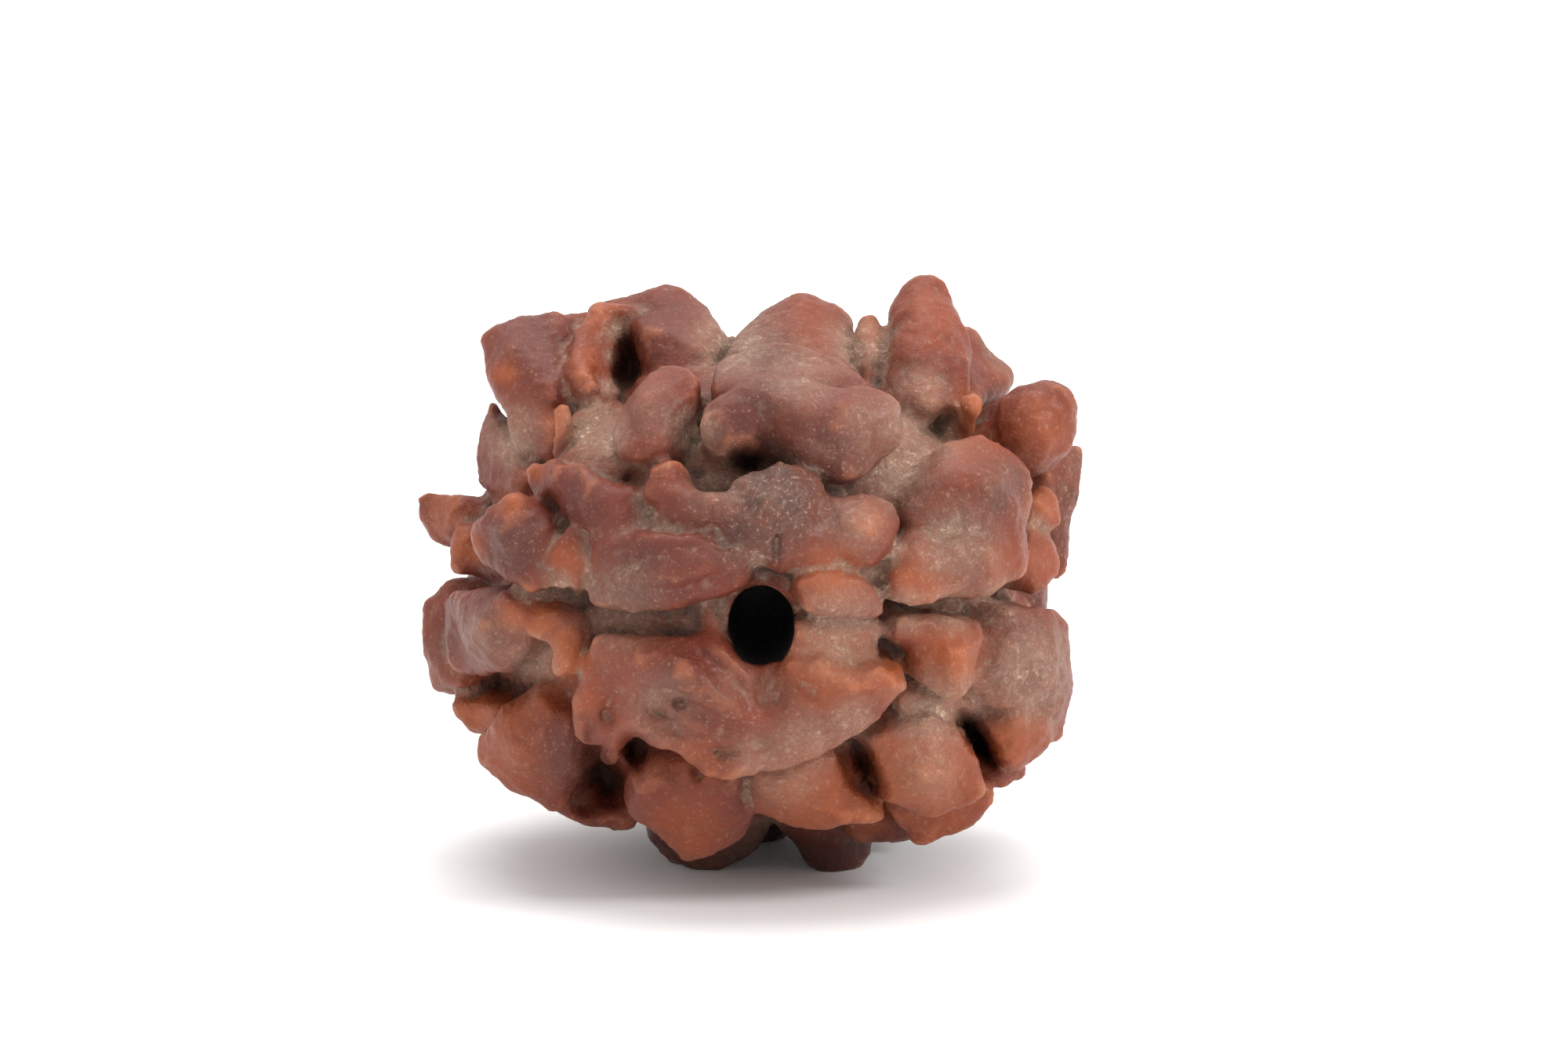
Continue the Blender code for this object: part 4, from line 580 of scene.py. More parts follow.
def evaluated_mesh(holder):
    """A new mesh of an object as its modifiers leave it."""
    graph = bpy.context.evaluated_depsgraph_get()
    return bpy.data.meshes.new_from_object(holder.evaluated_get(graph))


lumps = bpy.data.meshes.new("bead_shell")
bead_mesh.to_mesh(lumps)
bead_mesh.free()
shell = bpy.data.objects.new("bead_shell", lumps)
bpy.context.scene.collection.objects.link(shell)
fuse = shell.modifiers.new("fuse", "REMESH")
fuse.mode = "VOXEL"
fuse.voxel_size = FUSE_GRAIN
fused = evaluated_mesh(shell)
shell.modifiers.remove(fuse)
shell.data = fused
print("fused points:", len(fused.vertices))

# %% [markdown]
# Where two lobes meet, the real stone has a rounded valley, with dried pulp left in it. Moving each
# point towards the mean of its neighbours rounds a mesh. Doing it fully where that moves a point out,
# and only a little where it moves in, fills the valleys and leaves the crests standing.

# %% Valleys fill and crests stay
SETTLE_ROUNDS = 9
CREASE_SHARE = 0.7
CREST_SHARE = 0.25


def read_points(mesh, what="co"):
    """Every point's place, as one row of three numbers each."""
    numbers = np.empty(len(mesh.vertices) * 3, np.float32)
    mesh.vertices.foreach_get(what, numbers)
    return numbers.reshape(-1, 3).astype(float)


def read_normals(mesh):
    """Every point's outward direction."""
    return read_points(mesh, "normal")


def write_points(mesh, points):
    """Moves every point to its new place."""
    mesh.vertices.foreach_set("co", points.astype(np.float32).ravel())
    mesh.update()


def noise_field(points, length):
    """One smooth random number for each point, from -1 to 1, that changes over `length`."""
    return np.array([noise.noise(Vector(point)) for point in points / length])


def neighbours(mesh):
    """Both ends of every edge, and how many edges meet at every point."""
    ends = np.empty(len(mesh.edges) * 2, np.int32)
    mesh.edges.foreach_get("vertices", ends)
    first, second = ends.reshape(-1, 2).T
    return first, second, np.bincount(ends, minlength=len(mesh.vertices))[:, None]


def neighbour_mean(values, links):
    """The mean of each point's neighbours, for values with one or more columns."""
    first, second, valence = links
    count = len(values)
    total = np.empty_like(values)
    for column in range(values.shape[1]):
        total[:, column] = np.bincount(first, values[second, column], count)
        total[:, column] += np.bincount(second, values[first, column], count)
    return total / valence


def settle(mesh, rounds):
    """Smooths a mesh much where that moves a point out, and little where it moves in."""
    links = neighbours(mesh)
    for _ in range(rounds):
        at = read_points(mesh)
        step = neighbour_mean(at, links) - at
        outward = (step * read_normals(mesh)).sum(axis=1, keepdims=True) > 0
        write_points(mesh, at + step * np.where(outward, CREASE_SHARE, CREST_SHARE))


settle(shell.data, SETTLE_ROUNDS)
print("settled in", SETTLE_ROUNDS, "rounds")

# %% [markdown]
# Each lobe grew by itself, so a crease runs where it meets the next one. For every point of the mesh
# the distance to each lobe's own skin is measured with a search tree. Where the nearest lobe and the
# second nearest are equally near, the point is on a border, and there it is pressed in.

# %% Creases between lobes
CREASE_REACH = 0.8 * MM
CREASE_HALF_WIDTH = 0.26 * MM
CREASE_DEPTH = 0.24 * MM
CREASE_BLEND = 0.3 * MM
# A crease fades in and out over this length, around a mean share, by a swing, and never below the least
CREASE_PATCHES = 1.3 * MM
CREASE_MEAN = 0.75
CREASE_SWING = 1.2
CREASE_LEAST = 0.15
# A point this many blends away from the nearest lobe's skin is past any crease
CREASE_TOP = 1.4
TONE_ROUNDS = 4


def distance_to(skins, points):
    """How far each point is from the nearest of some skins, up to CREASE_REACH."""
    gaps = np.full(len(points), CREASE_REACH)
    for tree, corners in skins:
        low = corners.min(axis=0) - CREASE_REACH
        high = corners.max(axis=0) + CREASE_REACH
        for index in np.nonzero(((points > low) & (points < high)).all(axis=1))[0]:
            gap = tree.find_nearest(Vector(points[index]), CREASE_REACH)[3]
            if gap is not None:
                gaps[index] = min(gaps[index], gap)
    return gaps


def press_creases(mesh, growths):
    """Presses the points in that are equally near to two lobes. Returns each point's lobe and share."""
    points = read_points(mesh)
    nearest = np.full(len(points), CREASE_REACH)
    second = np.full(len(points), CREASE_REACH)
    owner = np.zeros(len(points), int)
    for number, skins in enumerate(growths.values()):
        gaps = distance_to(skins, points)
        owner = np.where(gaps < nearest, number, owner)
        second = np.minimum(second, np.maximum(nearest, gaps))
        nearest = np.minimum(nearest, gaps)
    share = np.exp(-(((second - nearest) / CREASE_HALF_WIDTH) ** 2)) * (second < CREASE_REACH)
    share *= np.clip(CREASE_TOP - nearest / CREASE_BLEND, 0, 1)
    patches = CREASE_MEAN + CREASE_SWING * noise_field(points, CREASE_PATCHES)
    share *= np.clip(patches, CREASE_LEAST, 1)
    write_points(mesh, points - read_normals(mesh) * (share * CREASE_DEPTH)[:, None])
    return owner, share


def keep(mesh, name, values):
    """Keeps one number for each point of the mesh under a name, from 0 to 1."""
    layer = mesh.attributes.new(name, "FLOAT", "POINT")
    layer.data.foreach_set("value", np.clip(values, 0, 1).astype(np.float32))
    print(f"{name}: mean {np.clip(values, 0, 1).mean():.2f}")


def lobe_tones(mesh, owner):
    """A random tone for each lobe, blended over a short way at the borders."""
    draw = random.Random(SEED)
    tones = {family: draw.random() for family in sorted(set(owner))}
    values = np.array([[tones[family]] for family in owner])
    links = neighbours(mesh)
    for _ in range(TONE_ROUNDS):
        values = values * 0.5 + neighbour_mean(values, links) * 0.5
    return values[:, 0]


lobe_of_point, crease_share = press_creases(shell.data, growths)
keep(shell.data, "crease", crease_share)
keep(shell.data, "tone", lobe_tones(shell.data, lobe_of_point))

# %% [markdown]
# Skins round balls have flat facets, and a grown thing has none. A smooth random shift of every point
# bends the lobes: a long wave leans whole lobes, a short one dents their sides.

# %% Growth bends the lobes
BENDS = ((0.26 * MM, 2.6 * MM), (0.13 * MM, 1.1 * MM))
# The noise is read at three places, far apart, one for each axis
BEND_APART = (Vector((0, 0, 0)), Vector((31.4, 0, 0)), Vector((0, 47.1, 0)))


def bend(mesh):
    """Shifts every point by smooth random amounts."""
    for vert in mesh.vertices:
        for reach, length in BENDS:
            place = vert.co / length
            vert.co += Vector([noise.noise(place + apart) for apart in BEND_APART]) * reach


bend(shell.data)
print("bent by up to", round(sum(reach for reach, _ in BENDS) / MM, 2), "mm")

# %% [markdown]
# Some places are lower than any skin round balls can show: a slot between two lobes, a deep cavity,
# pits where the pulp fell out. Each is a soft dent at a seen place, pushed in along the line of sight.
# The deeper ones later get painted shade.

# %% Pits and slots
# Millimetres across and up, half width, half height, depth, and lean in degrees
PITS = (
    (-3.75, 6.1, 0.34, 1.2, 1.7, -6), (-0.15, 3.4, 0.46, 0.28, 1.7, 0),
    (6.75, -4.85, 0.26, 0.8, 2.8, 36), (-3.45, -5.15, 0.4, 0.5, 1.8, 10),
    (-2.55, -4.05, 0.38, 0.16, 0.35, -15), (-2.1, -3.7, 0.2, 0.14, 0.3, 0),
    (-0.8, -5.2, 0.35, 0.14, 0.35, 0), (-4.2, -4.0, 0.2, 0.3, 0.3, 0),
    (-7.15, -3.4, 0.8, 0.42, 0.9, 15), (3.45, -5.65, 0.26, 0.85, 1.4, 27),
    (0.75, 0.7, 0.12, 0.6, 0.35, 0), (-4.3, -5.95, 0.5, 0.95, 1.6, 18), (-5.9, 2.15, 0.25, 0.3, 0.5, 0),
    (-3.5, 2.9, 0.35, 0.2, 0.6, 0), (0.55, -3.2, 0.45, 0.9, 0.4, 8), (-2.9, -5.0, 0.2, 0.35, 0.35, 20),
    (-1.6, -5.75, 0.16, 0.3, 0.35, 10), (-0.9, -2.9, 1.2, 0.34, 0.3, -38),
    (-4.75, -4.7, 0.14, 0.3, 0.3, 0), (-4.85, -6.6, 0.6, 0.7, 1.0, 0),
)
PIT_EDGE = 1.5
# Pits take hold from this many millimetres in front of the middle, so none goes through to the back
PIT_NEAR = 0.5
# Round each pit a rim of twice its width takes no orange edge and less dust
RIM_SPREAD = 4
# A pit gets painted shade from this depth on, and its painted shade is quite dark this much deeper
PIT_SHADE_FROM = 0.7 * MM
PIT_SHADE_BY = 1.2 * MM


def sight(points):
    """Points as the eye sees them: across, up and towards the eye, in millimetres."""
    axes = np.array([RIGHT, UP, TOWARD])
    return points @ axes.T / MM


def press_pits(mesh):
    """Pushes each pit in along the line of sight. Returns each point's depth and nearness to a pit."""
    points = read_points(mesh)
    seen = sight(points)
    near = np.clip(seen[:, 2] - PIT_NEAR, 0, 1)
    deepest = np.zeros(len(points))
    around = np.zeros(len(points))
    for across, up, half_width, half_height, depth, lean in PITS:
        turn = math.radians(lean)
        x = (seen[:, 0] - across) * math.cos(turn) + (seen[:, 1] - up) * math.sin(turn)
        y = (seen[:, 1] - up) * math.cos(turn) - (seen[:, 0] - across) * math.sin(turn)
        gap = (x / half_width) ** 2 + (y / half_height) ** 2
        share = np.exp(-(gap ** PIT_EDGE)) * near
        around = np.maximum(around, np.exp(-gap / RIM_SPREAD) * near * min(2 * depth, 1))
        points -= np.outer(share, np.array(TOWARD)) * depth * MM
        deepest = np.maximum(deepest, share * depth * MM)
    write_points(mesh, points)
    return deepest, around


pit_depth, pit_rim = press_pits(shell.data)
# Painted shade in the pits, darker the deeper they are
keep(shell.data, "pit_shade", (pit_depth - PIT_SHADE_FROM) / PIT_SHADE_BY)
keep(shell.data, "pit_rim", pit_rim)
print("pits:", len(PITS))

# %% [markdown]
# In the bottom of the groove runs a thin pale seam, where the two halves of the stone grew together.
# It is raised by a formula: points close to the groove's line and close to the core move out a little.

# %% The seam in the groove
SEAM_HALF_WIDTH = 0.22 * MM
SEAM_HEIGHT = 0.42 * MM
# The seam runs only where the groove's floor stands no higher than this above the core
SEAM_TOP = 0.25 * MM
SEAM_BLEND = 0.4 * MM
# Its height goes up and down over this length, around a mean share, by a swing
SEAM_JAG = 0.5 * MM
SEAM_MEAN = 0.6
SEAM_SWING = 0.7


def above_core(points):
    """Each point's distance from the middle of the bead, and how far it stands above the core."""
    radii = np.linalg.norm(points, axis=1)
    core = [core_radius(Vector(point / radius)) for point, radius in zip(points, radii)]
    return radii, radii - np.array(core)


def raise_seam(mesh):
    """Moves the points near the groove's bottom line outward."""
    points = read_points(mesh)
    radii, rise = above_core(points)
    level = GROOVE_WANDER * np.sin(GROOVE_WAVES * np.arctan2(points[:, 1], points[:, 0]))
    low = np.clip((SEAM_TOP - rise) / SEAM_BLEND, 0, 1)
    jag = SEAM_MEAN + SEAM_SWING * noise_field(points, SEAM_JAG)
    share = np.exp(-(((points[:, 2] - level) / SEAM_HALF_WIDTH) ** 2)) * low * jag
    write_points(mesh, points + points / radii[:, None] * (share * SEAM_HEIGHT)[:, None])


raise_seam(shell.data)
print("seam stands", round(SEAM_HEIGHT / MM, 2), "mm")

# %% [markdown]
# The shell itself isn't smooth. It has low wrinkles and dents a millimetre apart, and in the hollows a
# gritty crust. Both are moved points, not only bump shading, so they show in the outline too.

# %% Wrinkles and crust
# How far each wave moves a point, and how long it is
WRINKLES = ((0.08 * MM, 1.5 * MM), (0.05 * MM, 0.6 * MM), (0.03 * MM, 0.3 * MM))
CRUST = (0.10 * MM, 0.26 * MM)
# A place this far below its surroundings is crusted all over
CRUST_ROUNDS = 60
CRUST_FULL = 0.14 * MM


def blurred(mesh, rounds):
    """The mesh's points after plain smoothing, without changing the mesh."""
    links = neighbours(mesh)
    at = read_points(mesh)
    for _ in range(rounds):
        at = at * 0.5 + neighbour_mean(at, links) * 0.5
    return at


def sinking(mesh, rounds):
    """How far each point lies below (plus) or above (minus) its smoothed surroundings."""
    return ((blurred(mesh, rounds) - read_points(mesh)) * read_normals(mesh)).sum(axis=1)


def roughen(mesh):
    """Lays wrinkles all over the shell, and crust in its hollows."""
    points = read_points(mesh)
    normals = read_normals(mesh)
    shift = np.zeros(len(points))
    for reach, length in WRINKLES:
        shift += (0.5 - np.abs(noise_field(points, length)) * 2) * reach
    hollow = np.clip(sinking(mesh, CRUST_ROUNDS) / CRUST_FULL, 0, 1)
    shift += hollow * noise_field(points, CRUST[1]) * CRUST[0]
    write_points(mesh, points + normals * shift[:, None])


roughen(shell.data)
print("roughened")

# %% [markdown]
# The bore is drilled last, as on the real bead, so its edge cuts cleanly through the relief. The
# cutter is an oval bar that flares a little at both mouths, where cord and drill have worn the edge.

# %% The threading bore
MOUTH_FLARE = 1.01
# Shares of the core's half length: where the flare begins, how long it is, and how far the cutter reaches
FLARE_FROM = 0.8
FLARE_LENGTH = 0.2
CUTTER_REACH = 1.6
BORE_SIDES = 48
BORE_STEPS = 60


def make_bore_cutter():
    """The bore as a solid: an oval bar along Y, in many short steps so that its wall can carry painted
    shade.
    """
    half_length = CORE_TOWARD * CUTTER_REACH
    mesh = bmesh.new()
    rings = []
    for step in range(BORE_STEPS + 1):
        away = half_length * (2 * step / BORE_STEPS - 1)
        flare = 1 + (MOUTH_FLARE - 1) * max(0, abs(away) / CORE_TOWARD - FLARE_FROM) / FLARE_LENGTH
        ring = []
        for side in range(BORE_SIDES):
            turn = 2 * math.pi * side / BORE_SIDES
            x = BORE_ACROSS + BORE_HALF_WIDTH * flare * math.cos(turn)
            z = BORE_UP + BORE_HALF_HEIGHT * flare * math.sin(turn)
            ring.append(mesh.verts.new((x, away, z)))
        rings.append(ring)
    for first, second in zip(rings, rings[1:]):
        for side in range(BORE_SIDES):
            after = (side + 1) % BORE_SIDES
            mesh.faces.new((first[side], first[after], second[after], second[side]))
    mesh.faces.new(rings[0])
    mesh.faces.new(rings[-1])
    bmesh.ops.recalc_face_normals(mesh, faces=mesh.faces)
    cutter_mesh = bpy.data.meshes.new("bore_cutter")
    mesh.to_mesh(cutter_mesh)
    mesh.free()
    cutter = bpy.data.objects.new("bore_cutter", cutter_mesh)
    bpy.context.scene.collection.objects.link(cutter)
    return cutter


cutter = make_bore_cutter()
drill = shell.modifiers.new("drill", "BOOLEAN")
drill.operation = "DIFFERENCE"
drill.solver = "MANIFOLD"
drill.object = cutter
drilled = evaluated_mesh(shell)
shell.modifiers.remove(drill)
shell.data = drilled
bpy.data.objects.remove(cutter)
print("drilled points:", len(drilled.vertices))

# %% [markdown]
# Now the bead is set down: it moves up to stand on the floor, its feet are trimmed level, and it is
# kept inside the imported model's box, because a finer skin may not make the bead any larger.

# %% Set down and kept to size
def set_down(mesh):
    """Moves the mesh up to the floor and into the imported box. Returns how far it stood past the box."""
    points = read_points(mesh)
    points[:, 2] += REST_HEIGHT
    low = np.array(node_low)
    high = np.array(node_high)
    over = np.maximum(points - high, 0).max() + np.maximum(low - points, 0)[:, :2].max()
    write_points(mesh, np.clip(points, low, high))
    return over


over = set_down(shell.data)
triangles = sum(len(face.vertices) - 2 for face in shell.data.polygons)
print("stood past the box by", round(over / MM, 3), "mm; triangles:", triangles)

# %% [markdown]
# The colour of a rudraksha follows its shape. Thin crests get a painted orange glow for light coming
# through them, valleys hold pale dust, and deep cracks get painted shade, nearly black. A shader can't
# see the shape around a point, so the shape is measured here and kept on the mesh as attributes,
# which the material then reads.

# %% Measures of the shape
FINE_ROUNDS = 14
BROAD_ROUNDS = 110
# Millimetres: the painted shade under the bead reaches this high, starts this far in front, and blends over
# this
PAINTED_SHADE_HEIGHT = 2.7
PAINTED_SHADE_FRONT = 5.2
PAINTED_SHADE_BLEND = 1.8
# Millimetres at which a fine crest or crack, a ridge, a hollow, or a height above the core counts fully
FINE_FULL = 0.07
RIDGE_FULL = 0.32
HOLLOW_FULL = 0.30
HEIGHT_FULL = 2.2
# The bore's painted shade begins this many half widths from its middle, and is full this much further in
BORE_EDGE = 1.05
BORE_FADE = 0.03


def measure_shape(mesh):
    """Keeps on every point how it stands to its surroundings, the core, the floor and the bore."""
    fine = sinking(mesh, FINE_ROUNDS) / MM
    broad = sinking(mesh, BROAD_ROUNDS) / MM
    points = read_points(mesh) - np.array((0, 0, REST_HEIGHT))
    keep(mesh, "crest", -fine / FINE_FULL)
    keep(mesh, "ridge", -broad / RIDGE_FULL)
    keep(mesh, "valley", fine / FINE_FULL)
    keep(mesh, "hollow", broad / HOLLOW_FULL)
    keep(mesh, "height", above_core(points)[1] / MM / HEIGHT_FULL)
    # Painted shade under the bead: points low over the floor, and not at its very front, get darker
    low = np.clip((PAINTED_SHADE_HEIGHT - points[:, 2] / MM - REST_HEIGHT / MM) / PAINTED_SHADE_BLEND, 0, 1)
    keep(mesh, "under", low * np.clip((points[:, 1] / MM + PAINTED_SHADE_FRONT) / PAINTED_SHADE_BLEND, 0, 1))
    # Painted shade in the bore: points on its wall, inside its oval
    beside = (points[:, 0] - BORE_ACROSS) / BORE_HALF_WIDTH
    bore = np.hypot(beside, (points[:, 2] - BORE_UP) / BORE_HALF_HEIGHT)
    # The wall faces across the bore, and what faces along it is the shell outside
    wall = np.clip(1.5 - 2 * np.abs(read_normals(mesh)[:, 1]), 0, 1)
    keep(mesh, "bore", np.clip((BORE_EDGE - bore) / BORE_FADE, 0, 1) * wall)


measure_shape(shell.data)

# %% [markdown]
# Not all colour follows shape. The middle above the mouth is grey with dust, the left lobes are plum,
# some tips are bright orange. These stains are given as soft round spots, as seen.

# %% Stains
# Millimetres across and up, radius, and strength
STAINS = {
    "amber": (
        (-5.65, 4.5, 0.5, 1.0), (-7.35, 6.1, 0.35, 0.9), (-4.5, 7.9, 0.9, 0.6), (-5.0, 6.4, 0.6, 0.6),
        (6.5, 5.0, 0.6, 1.0), (3.65, 7.4, 0.5, 0.8), (-9.3, 1.9, 0.9, 0.65), (-8.5, 0.9, 0.6, 0.9),
        (-7.1, 2.1, 0.5, 0.9), (-6.4, 3.1, 0.4, 0.7), (-5.5, 0.3, 0.7, 0.6), (2.4, 0.0, 0.9, 0.9),
        (3.5, 1.6, 0.5, 0.7), (5.1, -0.1, 1.2, 0.75), (7.4, 0.4, 0.8, 0.5), (8.8, 2.0, 0.8, 0.9),
        (8.8, 0.4, 0.9, 0.6), (9.5, 2.5, 0.9, 0.5), (-7.0, -1.2, 0.5, 0.9), (-6.2, -1.3, 0.7, 0.8),
        (-5.5, -2.3, 0.9, 0.9), (-8.4, -4.2, 0.9, 0.9), (-7.2, -4.1, 0.9, 0.8), (-6.2, -3.5, 0.6, 0.7),
        (-7.4, -5.4, 1.3, 0.6), (2.4, -2.7, 1.3, 0.9), (4.3, -3.0, 0.8, 0.9), (2.0, -6.6, 1.6, 0.8),
        (3.6, -7.2, 0.7, 0.9), (5.2, -5.8, 1.5, 1.0), (6.3, -6.3, 0.8, 0.7), (6.0, -2.4, 1.1, 0.9),
        (8.0, -4.7, 1.0, 0.8), (5.2, 8.0, 1.2, 0.3), (8.7, 4.4, 1.2, 0.6), (-2.0, -7.6, 1.2, 0.5),
        (-4.9, -3.6, 0.5, 0.6), (-1.5, -5.5, 0.9, 0.4), (5.8, -7.5, 1.0, 0.6), (2.5, -8.2, 1.0, 0.5),
        (1.6, 7.7, 1.3, 0.4), (6.8, 3.9, 1.1, 0.4),
    ),
    # Plum: the bead's own dusky tone on the left lobes, and on some lower lobes painted shade
    "plum_and_shade": (
        (-7.2, 0.9, 1.2, 0.7), (-6.4, 7.0, 1.2, 0.7), (-3.0, 7.6, 1.4, 0.6), (-6.4, -5.2, 1.0, 0.7),
        (-8.0, -1.6, 1.0, 0.3), (-5.0, 2.0, 0.9, 0.7), (-2.7, 4.6, 1.2, 0.4), (-0.4, 4.4, 1.2, 0.8),
        (-2.6, 0.3, 1.8, 0.5), (-2.0, -3.0, 1.1, 0.6), (-9.6, -1.8, 0.8, 0.7), (2.2, -3.6, 1.2, 0.5),
        (2.0, -6.6, 1.3, 0.6), (-9.4, 2.1, 0.8, 0.4), (-5.3, -5.8, 0.8, 0.7),
    ),
    "ash": (
        (0.7, 2.4, 1.6, 1.0), (0.2, 1.2, 1.2, 0.8), (0.6, 5.4, 0.9, 0.4), (2.2, 3.6, 1.2, 0.5),
        (-0.9, 1.9, 0.9, 0.6), (6.0, 1.0, 1.4, 0.4), (7.5, 2.7, 1.0, 0.5), (8.4, -2.7, 1.5, 0.4),
        (-6.9, 1.0, 0.9, 0.3), (-1.6, -4.4, 1.2, 0.2), (0.4, 6.8, 1.2, 0.5), (5.3, -6.0, 0.8, 0.15),
        (-3.6, -0.3, 1.0, 0.4), (-5.4, -5.3, 0.9, 0.3),
    ),
    "pale": (
        (-4.6, 4.3, 0.9, 1.0), (-1.7, 4.3, 0.7, 1.0), (4.9, 4.4, 1.3, 0.9), (4.3, 2.9, 1.0, 0.7),
        (2.6, -1.6, 1.3, 0.75), (5.3, -4.0, 1.1, 1.0), (-4.0, -1.1, 1.3, 0.4), (4.6, -1.0, 0.6, 0.9),
        (5.9, -0.95, 0.7, 0.9), (7.3, -0.8, 0.7, 0.8), (-7.8, -1.8, 1.0, 0.3), (3.1, 1.6, 0.9, 0.5),
        (8.3, -2.8, 1.4, 0.7), (3.5, 4.6, 0.9, 0.4), (-2.7, -3.9, 1.0, 0.4), (3.0, -4.4, 0.8, 0.6),
        (1.5, -5.0, 1.0, 0.6), (0.1, -5.4, 0.8, 0.5), (0.6, -3.4, 0.6, 0.3), (6.0, 1.0, 1.1, 0.6),
        (-0.4, -3.2, 0.7, 0.25), (1.5, 5.9, 1.0, 0.5), (5.2, -5.7, 1.0, 0.4), (-2.9, 4.9, 0.8, 0.25),
        (-4.1, 7.4, 0.35, 0.9), (-4.2, 6.6, 0.25, 0.8), (-4.2, 5.6, 0.35, 0.9),
        (-6.5, -2.6, 0.8, 0.8), (-0.6, 7.0, 1.1, 0.9), (3.2, 7.0, 0.9, 0.7), (-7.1, 4.2, 0.9, 0.7),
        (0.9, -5.6, 1.2, 0.5), (-1.0, 3.0, 0.8, 0.6), (5.0, 5.6, 0.8, 0.7), (6.7, -3.7, 0.9, 0.6),
    ),
}
# Millimetres in front of the middle: where the seen stains begin, and how long they take to fade in
FRONT_FROM = 0.2
FRONT_BLEND = 1.5
STAIN_EDGE = 3
# Out of sight, noise lays the stains: how patchy, above which level, and how strong
HIDDEN_CONTRAST = 3.2
HIDDEN_FROM = 0.4
HIDDEN_STRENGTH = 0.6
# Each stain reads the noise at another place, so far apart, and in patches this many millimetres long
NOISE_APART = 40 * MM
HIDDEN_STAIN_LENGTH = {"amber": 2.3, "plum_and_shade": 3.1, "ash": 3.7, "pale": 2.9}


def lay_stains(mesh):
    """Keeps each stain's strength at every point: spots where the bead is seen, noise elsewhere."""
    points = read_points(mesh) - np.array((0, 0, REST_HEIGHT))
    seen = sight(points)
    front = np.clip((seen[:, 2] - FRONT_FROM) / FRONT_BLEND, 0, 1)
    for step, (name, spots) in enumerate(STAINS.items()):
        stain = np.zeros(len(points))
        for across, up, radius, strength in spots:
            gap = np.hypot(seen[:, 0] - across, seen[:, 1] - up) / radius
            stain = np.maximum(stain, strength * np.exp(-(gap ** STAIN_EDGE)))
        wild = noise_field(points + step * NOISE_APART, HIDDEN_STAIN_LENGTH[name] * MM)
        hidden = np.clip(wild * HIDDEN_CONTRAST - HIDDEN_FROM, 0, 1) * HIDDEN_STRENGTH
        keep(mesh, name, stain * front + hidden * (1 - front))


lay_stains(shell.data)

# %% [markdown]
# The material reads those attributes. Two kinds of noise break every boundary: a fine one, because dust
# lies in grains, and a broad one, because no two lobes ripen alike. Each tint is one Mix node, and they
# stack as a painter's glazes do: base, plum, orange, a painted glow on thin crests, dust, and last
# painted shade under the bead, in cracks and pits, and in the bore.

# %% A small kit for nodes
shell_material = bpy.data.materials.new("bead_shell")
shell_material.use_nodes = True
tree = shell_material.node_tree
surface = tree.nodes["Principled BSDF"]


def attribute(name):
    """The number that was kept on the mesh under a name."""
    node = tree.nodes.new("ShaderNodeAttribute")
    node.attribute_name = name
    return node.outputs["Fac"]


def joined(kind, first, second, clamp=True):
    """A Math node of one kind. Either side may be a number or another node's output."""
    node = tree.nodes.new("ShaderNodeMath")
    node.operation = kind
    node.use_clamp = clamp
    for socket, value in zip(node.inputs, (first, second)):
        if isinstance(value, (int, float)):
            socket.default_value = value
        else:
            tree.links.new(value, socket)
    return node.outputs["Value"]


times = partial(joined, "MULTIPLY")
plus = partial(joined, "ADD")
less = partial(joined, "SUBTRACT")
most = partial(joined, "MAXIMUM")


def grain(length, detail=3, roughness=0.6):
    """Noise that changes over `length` millimetres of the bead, from 0 to 1."""
    node = tree.nodes.new("ShaderNodeTexNoise")
    node.inputs["Scale"].default_value = 1 / (length * MM)
    node.inputs["Detail"].default_value = detail
    node.inputs["Roughness"].default_value = roughness
    tree.links.new(place.outputs["Object"], node.inputs["Vector"])
    return node.outputs["Fac"]


def between(value, low, high):
    """A value stretched so that `low` becomes 0 and `high` becomes 1."""
    node = tree.nodes.new("ShaderNodeMapRange")
    node.inputs["From Min"].default_value = low
    node.inputs["From Max"].default_value = high
    tree.links.new(value, node.inputs["Value"])
    return node.outputs["Result"]


def glaze(under, tint, amount):
    """One colour laid over another by an amount from 0 to 1."""
    node = tree.nodes.new("ShaderNodeMix")
    node.data_type = "RGBA"
    factor, under_socket, tint_socket = node.inputs["Factor"], node.inputs[6], node.inputs[7]
    tree.links.new(amount, factor)
    for socket, colour in ((under_socket, under), (tint_socket, tint)):
        if isinstance(colour, tuple):
            socket.default_value = (*colour, 1)
        else:
            tree.links.new(colour, socket)
    return node.outputs[2]


place = tree.nodes.new("ShaderNodeTexCoord")
print("node kit ready")

# %% [markdown]
# The colours are written as linear light, which is what Blender mixes. A colour that looks like brick
# on a screen is much darker in these numbers.

# %% The glazes
BRICK = (0.150, 0.027, 0.0135)
RUST = (0.215, 0.043, 0.018)
PLUM = (0.080, 0.021, 0.018)
AMBER = (0.340, 0.077, 0.019)
THIN_EDGE_GLOW = (0.44, 0.140, 0.056)
ASH = (0.085, 0.053, 0.045)
DUST = (0.80, 0.54, 0.40)
SHADE = (0.020, 0.007, 0.005)
CRACK_SHADE = (0.020, 0.008, 0.006)
BORE_SHADE = (0.003, 0.002, 0.002)

lobe_tone = plus(times(attribute("tone"), 0.7), times(grain(2.4, 2), 0.4))
mottle = between(grain(0.8, 5, 0.65), 0.35, 0.7)
speck = between(grain(0.13, 3, 0.75), 0.58, 0.68)
fleck = between(grain(0.22, 4, 0.7), 0.60, 0.72)
grit = between(grain(0.20, 5, 0.8), 0.42, 0.60)
colour = glaze(BRICK, RUST, lobe_tone)
colour = glaze(colour, PLUM, times(mottle, 0.45))
